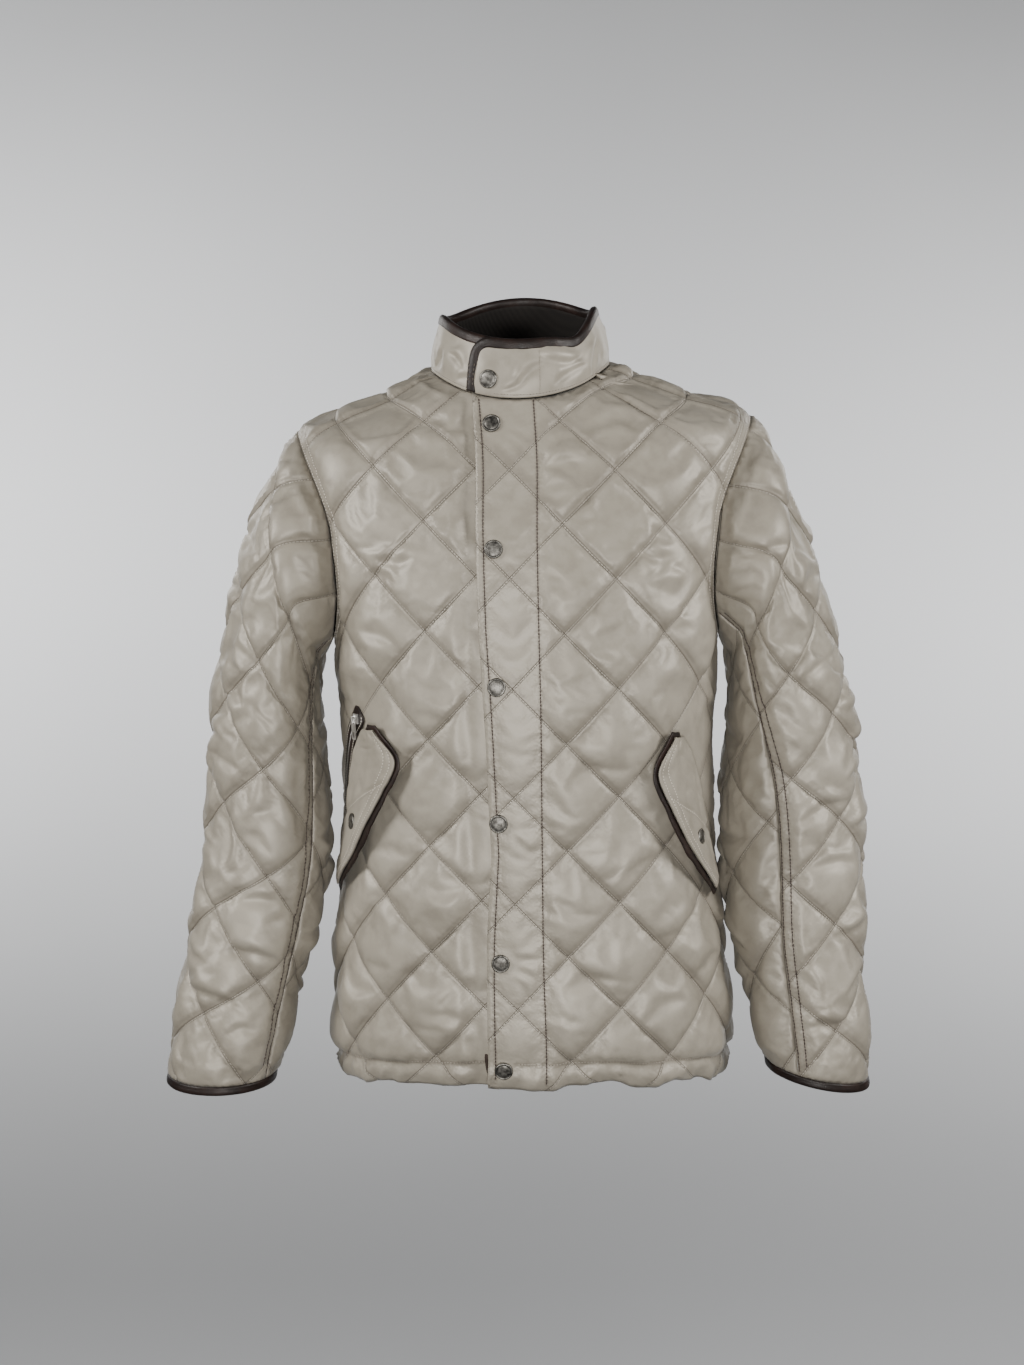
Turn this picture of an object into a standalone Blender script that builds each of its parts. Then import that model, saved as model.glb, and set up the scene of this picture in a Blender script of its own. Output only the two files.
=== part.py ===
"""Quilted jacket, filled out as it is when worn.

Every cloth piece is a wall over a smooth base surface.  A base surface is a grid of points
with its own cloth coordinates: x runs round the garment and v runs up it, both in metres
along the cloth.  The diamond quilting, the seams and the trims are all placed in them.
World axes: +X is the wearer's left, -Y is the front, +Z is up, and the origin lies between
the shoulders, at the level of the neck seam's sides.
"""

import math

import bmesh
import bpy
import numpy as np
from mathutils import Matrix, Vector
from mathutils.bvhtree import BVHTree
from mathutils.geometry import delaunay_2d_cdt

MM = 0.001

# Cloth
SEAM_GAP = 0.3 * MM
WALL = 2.4 * MM
QUILT_LOFT = 7.0 * MM
DIAMOND_HALF_WIDTH = 51.5 * MM
DIAMOND_HALF_HEIGHT = 53.6 * MM
CELL_STEPS = 3
INSIDE_SPACING = 38 * MM
BORDER_STEP = 19 * MM
BORDER_MARGIN = 8 * MM
SEAM_FADE = 20 * MM
SHOULDER_LEAN = 0.033

# Hem casing
CASING_HEIGHT = 25 * MM
CASING_LOFT = 4.0 * MM
GATHER_PITCH = 19 * MM
GATHER_DEPTH = 2.0 * MM

# Placket
PLACKET_LIFT = 3.9 * MM
LIFT_FADE = (34 * MM, 16 * MM)
PLACKET_SEAM_X = 12 * MM
PLACKET_LOFT = 1.2 * MM
UNDERLAP_X = 4 * MM
SNAP_RADIUS = 8.8 * MM

# Collar
COLLAR_WALL = 4.2 * MM
COLLAR_LAP_LIFT = 6.6 * MM
COLLAR_LAP_START = -31.0
COLLAR_UNDER_END = 364.0
LAP_ROOM = 1.4 * MM
FACING_GAP = 0.8 * MM
LINING_WALL = 1.1 * MM
BINDING_FOOT = 0.06
COLLAR_HEIGHT = 58 * MM
COLLAR_RADIUS = 85 * MM
BINDING_HEIGHT = 7.5 * MM
LAP_EDGE = COLLAR_LAP_START + 3.6
CORNER_ANGLE = 8.0
CORNER_HEIGHT = 11.0 * MM / COLLAR_HEIGHT
WALL_TOP = 1.0 - BINDING_HEIGHT / COLLAR_HEIGHT

# Sections of the leather bindings: how far out from the base surface, and how far past the edge.
SECTION_COLUMNS = ("out", "away")
BINDING_SECTION = ((-1.6 * MM, 0.8 * MM), (0.4 * MM, 0.5 * MM), (COLLAR_WALL, 0.5 * MM),
                   (COLLAR_WALL + 1.6 * MM, 1.4 * MM), (COLLAR_WALL + 1.6 * MM, 5.8 * MM),
                   (COLLAR_WALL - 0.2 * MM, 7.5 * MM), (0.4 * MM, 7.5 * MM), (-1.6 * MM, 5.8 * MM))
CUFF_SECTION = ((-0.6 * MM, 0.3 * MM), (3.4 * MM, 0.3 * MM), (4.6 * MM, 2.0 * MM), (4.6 * MM, 7.0 * MM),
                (3.2 * MM, 9.0 * MM), (0.4 * MM, 9.0 * MM), (-1.2 * MM, 7.0 * MM), (-1.2 * MM, 2.0 * MM))

# One row for each ring of the body, from the hem to the neck seam.
BODY_COLUMNS = ("v", "half_width", "mid_x", "side_y", "side_z",
                "front_y", "front_z", "back_y", "back_z", "square")
BODY_RINGS = (
    (0.000, 0.1965, 0.010, 0.000, -0.726, -0.148, -0.704, 0.148, -0.737, 2.4),
    (0.030, 0.2020, 0.010, 0.000, -0.698, -0.153, -0.678, 0.153, -0.708, 2.4),
    (0.130, 0.1985, 0.007, 0.000, -0.600, -0.154, -0.585, 0.153, -0.605, 2.4),
    (0.280, 0.1885, 0.005, 0.000, -0.450, -0.153, -0.445, 0.143, -0.452, 2.4),
    (0.430, 0.1920, 0.003, 0.002, -0.303, -0.155, -0.303, 0.148, -0.302, 2.4),
    (0.468, 0.1960, 0.002, 0.004, -0.266, -0.152, -0.265, 0.150, -0.262, 2.4),
    (0.590, 0.2205, 0.000, 0.008, -0.148, -0.133, -0.160, 0.140, -0.135, 2.4),
    (0.690, 0.2292, 0.000, 0.010, -0.0525, -0.110, -0.088, 0.122, -0.062, 2.4),
    (0.770, 0.1550, -0.002, 0.010, -0.0255, -0.094, -0.052, 0.104, -0.014, 2.3),
    (0.850, 0.0873, -0.004, 0.006, 0.0030, -0.082, -0.026, 0.088, 0.018, 2.1),
)
NECK_V = 0.850
SHOULDER_V = 0.690
UNDERARM_V = 0.468
WAIST_V = 0.280
WAIST_Z = -0.447

# Levels of a panel's edge points up its side seam and along its shoulder seam.
SIDE_LEVELS = np.concatenate([[0.0, CASING_HEIGHT], np.linspace(0.05, UNDERARM_V, 22)])
SHOULDER_LEVELS = np.linspace(SHOULDER_V, NECK_V, 9)
NECK_STEP = 9.0
PLACKET_EDGE_POINTS = 34

# The armhole is cut this far in from the side line, at its middle.
ARMHOLE_FRONT_CUT = 88 * MM
ARMHOLE_BACK_CUT = 74 * MM
ARMHOLE_ROUNDNESS = 2.3
ARMHOLE_STEP = 10
UNDERARM_ROOM = 5.0 * MM

# One row for each ring of a sleeve below the armhole, named by its outer and inner points.
SLEEVE_COLUMNS = ("s", "outer_x", "outer_z", "inner_x", "inner_z", "mid_y", "half_depth")
LEFT_SLEEVE_RINGS = (
    (0.06, 0.257, -0.093, 0.212, -0.280, 0.002, 0.095),
    (0.14, 0.281, -0.152, 0.2155, -0.300, 0.000, 0.091),
    (0.23, 0.301, -0.213, 0.2165, -0.326, -0.002, 0.087),
    (0.32, 0.319, -0.280, 0.2150, -0.360, -0.004, 0.082),
    (0.42, 0.334, -0.345, 0.2120, -0.400, -0.006, 0.078),
    (0.53, 0.344, -0.420, 0.2095, -0.447, -0.010, 0.074),
    (0.64, 0.348, -0.495, 0.2120, -0.502, -0.016, 0.070),
    (0.75, 0.347, -0.562, 0.2215, -0.565, -0.026, 0.064),
    (0.87, 0.350, -0.640, 0.2400, -0.636, -0.039, 0.058),
    (0.95, 0.354, -0.697, 0.2520, -0.686, -0.047, 0.054),
    (1.00, 0.357, -0.728, 0.2560, -0.708, -0.051, 0.052),
)
RIGHT_SLEEVE_RINGS = (
    (0.06, 0.253, -0.100, 0.211, -0.288, 0.002, 0.097),
    (0.14, 0.272, -0.145, 0.2140, -0.308, 0.000, 0.095),
    (0.23, 0.289, -0.198, 0.2150, -0.334, -0.002, 0.092),
    (0.32, 0.302, -0.262, 0.2130, -0.366, -0.004, 0.087),
    (0.42, 0.314, -0.328, 0.2090, -0.405, -0.007, 0.083),
    (0.53, 0.320, -0.402, 0.2060, -0.447, -0.011, 0.078),
    (0.64, 0.327, -0.480, 0.2085, -0.500, -0.017, 0.073),
    (0.75, 0.341, -0.560, 0.2230, -0.565, -0.027, 0.066),
    (0.87, 0.353, -0.643, 0.2440, -0.642, -0.040, 0.059),
    (0.95, 0.364, -0.700, 0.2575, -0.698, -0.048, 0.055),
    (1.00, 0.368, -0.724, 0.2620, -0.722, -0.052, 0.053),
)
# The two seams of a sleeve, in degrees from its outer line towards the front, down its length.
SEAM_COLUMNS = ("s", "front_seam", "back_seam")
LEFT_SLEEVE_SEAMS = (
    (0.00, 140.0, -120.0),
    (0.25, 128.0, -118.0),
    (0.50, 108.0, -115.0),
    (1.00, 118.0, -110.0),
)
RIGHT_SLEEVE_SEAMS = (
    (0.00, 160.0, -110.0),
    (0.25, 152.0, -104.0),
    (0.50, 142.0, -98.0),
    (1.00, 150.0, -92.0),
)

SLEEVE_LEVELS = np.concatenate([[0.0], np.linspace(0.03, 1.0, 32)])
ELBOW_S = 0.53
ELBOW_Z = -0.434
CUFF_STEP = 17.0
SLEEVE_RADIUS = 65 * MM

# The collar's rim.
RIM = {"half_width": 0.0765, "mid_x": -0.003, "side_y": 0.004, "side_z": 0.0545,
       "front_y": -0.077, "front_z": 0.034, "back_y": 0.078, "back_z": 0.077}

# The placket's free edge, as x for each v.
PLACKET_EDGE = ((-0.72, -0.0455), (-0.65, -0.0455), (-0.56, -0.0430), (-0.47, -0.0375),
                (-0.36, -0.0415), (-0.25, -0.0460), (-0.15, -0.0475), (0.05, -0.0480))

# Where two quilting lines cross, in each piece's cloth coordinates.
QUILT_CROSSINGS = {
    "front_left": (-0.015, -0.413),
    "front_right": (-0.0475, -0.410),
    "back": (0.0, -0.410),
    "sleeve_left_upper": (-0.118, -0.405),
    "sleeve_right_upper": (0.112, -0.405),
    "sleeve_left_under": (0.030, -0.500),
    "sleeve_right_under": (-0.020, -0.500),
}

# Where the quilting lies flat.  Each pair is where the flattening begins and is complete.
LEAST_RELIEF = 0.1 * MM
SEAM_SHARPNESS = 0.5
UNDERARM_FLATNESS = 0.75
UNDERARM_X = (0.19, 0.25)
UNDERARM_RISE = (-0.50, -0.40)
SIDE_X = 0.27
UNDER_SLEEVE_HALF_WIDTH = 0.065
UNDER_SLEEVE_RISE = (-0.52, -0.44)
PLACKET_FADE_X = 0.035
UNDERLAP_FADE = (-0.074, -0.054)
CASING_FADE = (0.030, 0.024)
POCKET_FLATNESS = 0.96
POCKET_FOOT = (-0.56, -0.52)
POCKET_HEAD = (-0.285, -0.315)
POCKET_MIDDLE = (0.205, -0.43)
POCKET_SLOPE = -0.27
POCKET_HALF_WIDTH = 0.040

# Large soft folds: the piece, the line they follow, their half width and their height.
FOLD_COLUMNS = ("piece", "x0", "v0", "x1", "v1", "half_width", "height")
FOLDS = (
    ("front_left", 0.150, -0.230, 0.085, -0.150, 0.020, -0.004),
    ("front_right", -0.150, -0.230, -0.080, -0.160, 0.020, -0.004),
    ("front_right", -0.060, -0.060, -0.110, -0.110, 0.018, -0.003),
    ("back", 0.120, -0.180, 0.070, -0.250, 0.022, -0.003),
    ("back", -0.120, -0.180, -0.070, -0.250, 0.022, -0.003),
    ("sleeve_left_upper", -0.110, -0.330, 0.020, -0.300, 0.020, -0.005),
    ("sleeve_left_upper", -0.090, -0.660, 0.060, -0.640, 0.018, -0.004),
    ("sleeve_left_under", -0.060, -0.450, 0.050, -0.440, 0.020, -0.004),
    ("sleeve_right_upper", 0.130, -0.300, 0.000, -0.260, 0.020, -0.005),
    ("sleeve_right_upper", 0.100, -0.640, -0.040, -0.670, 0.018, -0.004),
    ("sleeve_right_under", 0.060, -0.450, -0.050, -0.440, 0.020, -0.004),
)

# Snaps of the placket, as v for each, and the line they stand on.
REST_SEARCH = 40 * MM
SNAP_X = -0.0300
SNAP_LEVELS = (-0.044, -0.170, -0.303, -0.438, -0.579, -0.687)
SNAP_COLUMNS = ("share_of_radius", "height_in_radii")
SNAP_PROFILE = ((1.0, 0.0), (1.0, 0.12), (0.90, 0.27), (0.80, 0.21), (0.45, 0.28))
SNAP_CROWN = 0.30
SNAP_SEGMENTS = 12
FLAP_SNAP_SCALE = 0.9
COLLAR_SNAP_ANGLE = -19.0
COLLAR_SNAP_HEIGHT = 0.32

# Pocket flaps, from the top corner to the tip: where the sewn and the free edge lie, as an
# angle round the body and a height, and how far the free edge stands out to the front.
FLAP_COLUMNS = ("sewn_angle", "sewn_z", "free_angle", "free_z", "stand")
LEFT_FLAP = (
    (53.5, -0.3575, 50.0, -0.3540, 0.012),
    (58.5, -0.3820, 44.0, -0.3880, 0.014),
    (63.5, -0.4200, 49.0, -0.4250, 0.018),
    (66.5, -0.4550, 55.5, -0.4600, 0.021),
    (71.0, -0.4900, 63.5, -0.4930, 0.021),
    (76.0, -0.5170, 72.0, -0.5210, 0.019),
)
RIGHT_FLAP = (
    (-57.8, -0.3510, -53.5, -0.3480, 0.012),
    (-62.8, -0.3730, -45.5, -0.3760, 0.014),
    (-67.5, -0.4080, -51.0, -0.4110, 0.018),
    (-70.5, -0.4420, -58.5, -0.4460, 0.022),
    (-76.0, -0.4780, -67.0, -0.4820, 0.022),
    (-83.0, -0.5080, -78.0, -0.5120, 0.020),
)
FLAP_WALL = 2.6 * MM
FLAP_LEATHER_WALL = 1.4 * MM
FLAP_LEATHER_EDGE = 4.0 * MM

# Leather facing of the right pocket's zip: its two long edges at each height, as angles.
FACING_COLUMNS = ("z", "outer_angle", "inner_angle")
ZIP_FACING = (
    (-0.4560, -77.4, -75.2),
    (-0.4380, -79.0, -72.4),
    (-0.4120, -77.8, -70.2),
    (-0.3860, -75.2, -67.2),
    (-0.3620, -71.2, -63.4),
    (-0.3420, -66.0, -58.8),
    (-0.3300, -62.8, -61.4),
)
FACING_WALL = 1.2 * MM
SEAT_GAP = 0.45 * MM

# The end of the front zip's tape, where it shows beside the placket.
ZIP_TAPE_X = (-0.0515, -0.0465)
ZIP_TAPE_V = (-0.694, -0.654)
ZIP_TAPE_WALL = 0.9 * MM

# Zip slider and pull tab
SLIDER_ANGLE = -62.4
SLIDER_Z = -0.3430
SLIDER_SIZE = (7.6 * MM, 10.0 * MM, 2.6 * MM)
SLIDER_CHAMFER = 1.2 * MM
ARCH_WIDTH = 1.6 * MM
ARCH_CLEARANCE = 0.15 * MM
ARCH_SPAN = 7.0 * MM
ARCH_RISE = 3.6 * MM
ARCH_BAR = 0.9 * MM
TAB_WIDTH = 7.0 * MM
TAB_LENGTH = 21.0 * MM
TAB_THICKNESS = 1.1 * MM
TAB_BAR = 0.6 * MM
TAB_EYE = (3.2 * MM, 4.4 * MM)
TAB_SLOT = (3.6 * MM, 6.0 * MM)
TAB_SLOT_END = 1.8 * MM
TAB_CORNER = 1.4 * MM

# name: colour, roughness, metallic
FINISHES = {
    "shell_nylon": ((0.475, 0.430, 0.375, 1.0), 0.46, 0.0),
    "collar_lining": ((0.020, 0.016, 0.014, 1.0), 0.85, 0.0),
    "brown_leather": ((0.030, 0.014, 0.011, 1.0), 0.38, 0.0),
    "zip_tape": ((0.035, 0.022, 0.018, 1.0), 0.80, 0.0),
    "aged_nickel": ((0.400, 0.385, 0.360, 1.0), 0.36, 1.0),
    "bright_nickel": ((0.720, 0.710, 0.690, 1.0), 0.22, 1.0),
}


def clear_scene():
    for item in list(bpy.data.objects):
        bpy.data.objects.remove(item, do_unlink=True)


def finish(name):
    """The material of this name, made when it is first asked for."""
    material = bpy.data.materials.get(name)
    if material is None:
        colour, roughness, metallic = FINISHES[name]
        material = bpy.data.materials.new(name)
        material.use_nodes = True
        shader = material.node_tree.nodes["Principled BSDF"]
        shader.inputs["Base Color"].default_value = colour
        shader.inputs["Roughness"].default_value = roughness
        shader.inputs["Metallic"].default_value = metallic
    return material


def add_object(name, bm, finish_name):
    """Close a bmesh into a named object, with its faces pointing out."""
    bmesh.ops.recalc_face_normals(bm, faces=bm.faces)
    mesh = bpy.data.meshes.new(name)
    bm.to_mesh(mesh)
    bm.free()
    mesh.materials.append(finish(finish_name))
    mesh.shade_smooth()
    mesh.set_sharp_from_angle(angle=math.radians(50))
    item = bpy.data.objects.new(name, mesh)
    bpy.context.scene.collection.objects.link(item)
    return item


def unit(vectors):
    return vectors / np.linalg.norm(vectors, axis=-1, keepdims=True)


def smoothstep(low, high, value):
    t = np.clip((value - low) / (high - low), 0.0, 1.0)
    return t * t * (3.0 - 2.0 * t)


def through_rows(rows, keys):
    """Smooth columns through a table's rows, whose first column is the key."""
    table = np.array(rows, dtype=float)
    keys = np.atleast_1d(keys)
    knots = table[:, 0]
    values = table[:, 1:]
    slopes = np.gradient(values, knots, axis=0)
    i = np.clip(np.searchsorted(knots, keys) - 1, 0, len(knots) - 2)
    span = (knots[i + 1] - knots[i])[:, None]
    t = (keys[:, None] - knots[i][:, None]) / span
    return ((2 * t**3 - 3 * t**2 + 1) * values[i]
            + (t**3 - 2 * t**2 + t) * span * slopes[i]
            + (3 * t**2 - 2 * t**3) * values[i + 1]
            + (t**3 - t**2) * span * slopes[i + 1])


def body_points(angles, levels):
    """Points of the body's base surface, at angles from the front and levels v."""
    columns = through_rows(BODY_RINGS, levels).T[:, None, :]
    half_width, mid_x, side_y, side_z, front_y, front_z, back_y, back_z, square = columns
    turn = np.radians(angles)[:, None]
    is_front = np.cos(turn) >= 0
    depth = np.where(is_front, side_y - front_y, back_y - side_y)
    end_z = np.where(is_front, front_z, back_z)
    reach = ((np.abs(np.cos(turn)) / depth) ** square
             + (np.abs(np.sin(turn)) / half_width) ** square) ** (-1.0 / square)
    forward = reach * np.cos(turn)
    x = mid_x + reach * np.sin(turn)
    y = side_y - forward
    z = side_z + (end_z - side_z) * (forward / depth) ** 2
    z = z + SHOULDER_LEAN * x * smoothstep(-0.45, -0.10, z)
    return np.stack([x, y, z], axis=-1)


class Surface:
    """A grid of points over (u, w), with normals and cloth coordinates x and v."""

    def __init__(self, grid, u, w, zero_u, zero_w, zero_v, flip=False, w_runs_down=False):
        self.grid = grid
        self.u = u
        self.w = w
        across = np.gradient(grid, u, axis=0)
        along = np.gradient(grid, w, axis=1)
        self.normal = unit(np.cross(across, along)) * (-1.0 if flip else 1.0)
        round_length = np.linalg.norm(np.diff(grid, axis=0), axis=2)
        x = np.vstack([np.zeros((1, len(w))), np.cumsum(round_length, axis=0)])
        zero_column = np.array([np.interp(zero_u, u, x[:, j]) for j in range(len(w))])
        run_length = np.linalg.norm(np.diff(grid, axis=1), axis=2)
        v = np.hstack([np.zeros((len(u), 1)), np.cumsum(run_length, axis=1)])
        zero_row = np.array([np.interp(zero_w, w, v[i]) for i in range(len(u))])
        x_sign = 1.0 if w_runs_down == flip else -1.0
        v_sign = -1.0 if w_runs_down else 1.0
        self.x = x_sign * (x - zero_column[None, :])
        self.v = zero_v + v_sign * (v - zero_row[:, None])

    def read(self, field, u, w):
        """A field at (u, w), between the grid's points."""
        i = np.clip((u - self.u[0]) / (self.u[1] - self.u[0]), 0, len(self.u) - 1.0001)
        j = np.clip((w - self.w[0]) / (self.w[1] - self.w[0]), 0, len(self.w) - 1.0001)
        i0 = i.astype(int)
        j0 = j.astype(int)
        a = i - i0
        b = j - j0
        if field.ndim == 3:
            a = a[:, None]
            b = b[:, None]
        return ((1 - a) * (1 - b) * field[i0, j0] + a * (1 - b) * field[i0 + 1, j0]
                + (1 - a) * b * field[i0, j0 + 1] + a * b * field[i0 + 1, j0 + 1])

    def cloth(self, u, w):
        return self.read(self.x, u, w), self.read(self.v, u, w)

    def find(self, x, v):
        """The (u, w) at cloth coordinates x and v, by Newton's steps from the nearest point."""
        stride = 3
        near_x = self.x[::stride, ::stride].ravel()
        near_v = self.v[::stride, ::stride].ravel()
        grid_u, grid_w = np.meshgrid(self.u[::stride], self.w[::stride], indexing="ij")
        distance = (x[:, None] - near_x) ** 2 + (v[:, None] - near_v) ** 2
        nearest = np.argmin(distance, axis=1)
        u = grid_u.ravel()[nearest].copy()
        w = grid_w.ravel()[nearest].copy()
        x_by_u = np.gradient(self.x, self.u, axis=0)
        x_by_w = np.gradient(self.x, self.w, axis=1)
        v_by_u = np.gradient(self.v, self.u, axis=0)
        v_by_w = np.gradient(self.v, self.w, axis=1)
        for _ in range(30):
            miss_x = x - self.read(self.x, u, w)
            miss_v = v - self.read(self.v, u, w)
            xu, xw = self.read(x_by_u, u, w), self.read(x_by_w, u, w)
            vu, vw = self.read(v_by_u, u, w), self.read(v_by_w, u, w)
            scale = xu * vw - xw * vu
            scale = np.where(np.abs(scale) < 1e-12, 1e-12, scale)
            u = np.clip(u + 0.7 * (miss_x * vw - miss_v * xw) / scale, self.u[0], self.u[-1])
            w = np.clip(w + 0.7 * (miss_v * xu - miss_x * vu) / scale, self.w[0], self.w[-1])
        return u, w

    def angle_at_x(self, x, w):
        """The u at which cloth coordinate x is met on the ring w."""
        return np.array([np.interp(value, *self.sorted_ring(level)) for value, level in zip(x, w)])

    def sorted_ring(self, level):
        ring = self.read(self.x, self.u, np.full(len(self.u), level))
        order = np.argsort(ring)
        return ring[order], self.u[order]

    def place(self, u, w, out):
        """Points at (u, w), moved out from the surface."""
        normals = self.read(self.normal, u, w)
        return self.read(self.grid, u, w) + normals * np.reshape(out, (-1, 1))


def body_surface(first, last, zero):
    angles = np.linspace(first, last, int((last - first) * 0.8) + 1)
    levels = np.linspace(0.0, NECK_V, 171)
    return Surface(body_points(angles, levels), angles, levels, zero, WAIST_V, WAIST_Z)


class Armhole:
    """The loop where a sleeve meets the body: shoulder point, front, underarm, back."""

    def __init__(self, front, back, side):
        self.side = side
        self.turn = np.linspace(0.0, 360.0, 361)
        halves = []
        for surface, cut, centre in ((front, ARMHOLE_FRONT_CUT, 0.0), (back, ARMHOLE_BACK_CUT, 180.0)):
            swing = np.linspace(0.0, math.pi, 400)
            levels = SHOULDER_V + (UNDERARM_V - SHOULDER_V) * (1 - np.cos(swing)) / 2
            inset = cut * (1 - np.abs(np.cos(swing)) ** ARMHOLE_ROUNDNESS) ** (1 / ARMHOLE_ROUNDNESS)
            seam_angle = 90.0 * side if centre == 0.0 else 180.0 - 90.0 * side
            away = side if centre == 0.0 else -side
            seam_x = surface.read(surface.x, np.full(400, seam_angle), levels)
            angles = surface.angle_at_x(seam_x - away * inset, levels)
            points = surface.place(angles, levels, np.zeros(400))
            length = np.concatenate([[0.0], np.cumsum(np.linalg.norm(np.diff(points, axis=0), axis=1))])
            share = np.linspace(0.0, length[-1], 181)
            halves.append([np.interp(share, length, angles), np.interp(share, length, levels)])
        self.front_angles, self.front_levels = halves[0]
        self.back_angles, self.back_levels = halves[1]
        self.points = np.vstack([
            front.place(self.front_angles, self.front_levels, np.zeros(181)),
            back.place(self.back_angles, self.back_levels, np.zeros(181))[::-1][1:]])
        self.body_normals = np.vstack([
            front.read(front.normal, self.front_angles, self.front_levels),
            back.read(back.normal, self.back_angles, self.back_levels)[::-1][1:]])
        self.tight = np.exp(-(((self.turn - 180.0) / 38.0) ** 2))
        self.sleeve_normals = None

    def read(self, field, turn):
        turn = np.mod(turn, 360.0)
        return np.stack([np.interp(turn, self.turn, field[:, k]) for k in range(3)], axis=-1)

    def border_normals(self, turn, for_body):
        """The direction of the wall's edge at the seam, shared by the two pieces."""
        body = self.read(self.body_normals, turn)
        sleeve = self.read(self.sleeve_normals, turn)
        share = 1.0 - np.interp(np.mod(turn, 360.0), self.turn, self.tight)[:, None]
        return unit(body + share * sleeve) if for_body else unit(sleeve + share * body)


def sleeve_points(armhole, rings, turn, lengths):
    """Points of a sleeve's base surface, at turns from its outer line and shares of its length."""
    away = np.interp(np.mod(turn, 360.0), armhole.turn, armhole.tight)
    start = armhole.read(armhole.points, turn)
    start = start + np.array([armhole.side, 0, 0]) * (SEAM_GAP + UNDERARM_ROOM * away)[:, None]
    swing = np.radians(turn)[:, None]
    knots = [0.0]
    stations = [start]
    for s, outer_x, outer_z, inner_x, inner_z, mid_y, half_depth in rings:
        outer = np.array([armhole.side * outer_x, mid_y, outer_z])
        inner = np.array([armhole.side * inner_x, mid_y, inner_z])
        centre = (outer + inner) / 2
        forward = np.array([0.0, -half_depth, 0.0])
        knots.append(s)
        stations.append(centre + (outer - centre) * np.cos(swing) + forward * np.sin(swing))
    flat = np.array(stations).reshape(len(knots), -1)
    rows = np.column_stack([knots, flat])
    grid = through_rows(rows, lengths).reshape(len(lengths), len(turn), 3)
    return grid.transpose(1, 0, 2)


def sleeve_surface(armhole, rings, first, last, zero):
    turn = np.linspace(first, last, int((last - first) / 2) + 1)
    lengths = np.linspace(0.0, 1.0, 161)
    grid = sleeve_points(armhole, rings, turn, lengths)
    return Surface(grid, turn, lengths, zero, ELBOW_S, ELBOW_Z,
                   flip=armhole.side < 0, w_runs_down=True)


def distance_to_outline(points, outline):
    """How far each 2-D point lies from a closed outline."""
    start = outline
    run = np.roll(outline, -1, axis=0) - start
    square = np.maximum((run ** 2).sum(axis=1), 1e-18)
    best = np.full(len(points), np.inf)
    for a, d, s in zip(start, run, square):
        t = np.clip(((points - a) @ d) / s, 0.0, 1.0)
        best = np.minimum(best, np.linalg.norm(points - a - t[:, None] * d, axis=1))
    return best


def inside_outline(points, outline):
    """Which 2-D points lie inside a closed outline."""
    x, y = points[:, 0], points[:, 1]
    inside = np.zeros(len(points), dtype=bool)
    other = np.roll(outline, -1, axis=0)
    for (x0, y0), (x1, y1) in zip(outline, other):
        crosses = (y0 > y) != (y1 > y)
        with np.errstate(divide="ignore", invalid="ignore"):
            meets = x < (x1 - x0) * (y - y0) / (y1 - y0) + x0
        inside ^= crosses & meets
    return inside


def fill(outline, inner_points):
    """Triangles over an outline and the points inside it."""
    points = [Vector(p) for p in np.vstack([outline, inner_points])]
    loop = list(range(len(outline)))
    result = delaunay_2d_cdt(points, [], [loop], 1, 1e-7)
    out_points, _, faces, origins = result[0], result[1], result[2], result[3]
    if len(out_points) != len(points):
        raise ValueError("an outline crosses itself")
    back = [source[0] for source in origins]
    return [[back[i] for i in face] for face in faces]


def grid_inside(outline, margin, spacing):
    """Points of a square grid inside an outline, clear of its edge."""
    low = outline.min(axis=0)
    high = outline.max(axis=0)
    xs = np.arange(low[0] + spacing / 2, high[0], spacing)
    vs = np.arange(low[1] + spacing / 2, high[1], spacing)
    points = np.array([(x, v) for x in xs for v in vs])
    points = points[inside_outline(points, outline)]
    return points[distance_to_outline(points, outline) > margin]


def quilt_points(outline, crossing):
    """Points of the quilting's grid inside an outline: its lines, and the cells between."""
    low = outline.min(axis=0)
    high = outline.max(axis=0)
    reach = int(max((high - low) / DIAMOND_HALF_WIDTH)) + 4
    near_p, near_q = quilt_cell((low[0] + high[0]) / 2, (low[1] + high[1]) / 2, crossing)
    steps = np.arange(-reach * CELL_STEPS, reach * CELL_STEPS + 1) / CELL_STEPS
    p, q = np.meshgrid(round(near_p) + steps, round(near_q) + steps, indexing="ij")
    x = crossing[0] + (p + q) * DIAMOND_HALF_WIDTH
    v = crossing[1] + (p - q) * DIAMOND_HALF_HEIGHT
    points = np.column_stack([x.ravel(), v.ravel()])
    in_box = np.all((points > low) & (points < high), axis=1)
    points = points[in_box]
    points = points[inside_outline(points, outline)]
    return points[distance_to_outline(points, outline) > BORDER_MARGIN]


def quilt_cell(x, v, crossing):
    """Counts of quilting lines passed on the two slants; whole numbers lie on a line."""
    across = (x - crossing[0]) / (2 * DIAMOND_HALF_WIDTH)
    up = (v - crossing[1]) / (2 * DIAMOND_HALF_HEIGHT)
    return across + up, across - up


def quilt_height(x, v, crossing):
    p, q = quilt_cell(x, v, crossing)
    return QUILT_LOFT * np.abs(np.sin(np.pi * p) * np.sin(np.pi * q)) ** 0.6


def fold_height(piece, x, v):
    """The large folds' share of the wall's outer face."""
    total = np.zeros(len(x))
    for name, x0, v0, x1, v1, half_width, height in FOLDS:
        if name != piece:
            continue
        run = np.array([x1 - x0, v1 - v0])
        length = np.linalg.norm(run)
        t = ((x - x0) * run[0] + (v - v0) * run[1]) / length ** 2
        off = ((x - x0) * run[1] - (v - v0) * run[0]) / length
        ends = smoothstep(-0.15, 0.25, t) * smoothstep(1.15, 0.75, t)
        total += height * ends * np.exp(-((off / half_width) ** 2))
    return total


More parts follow.
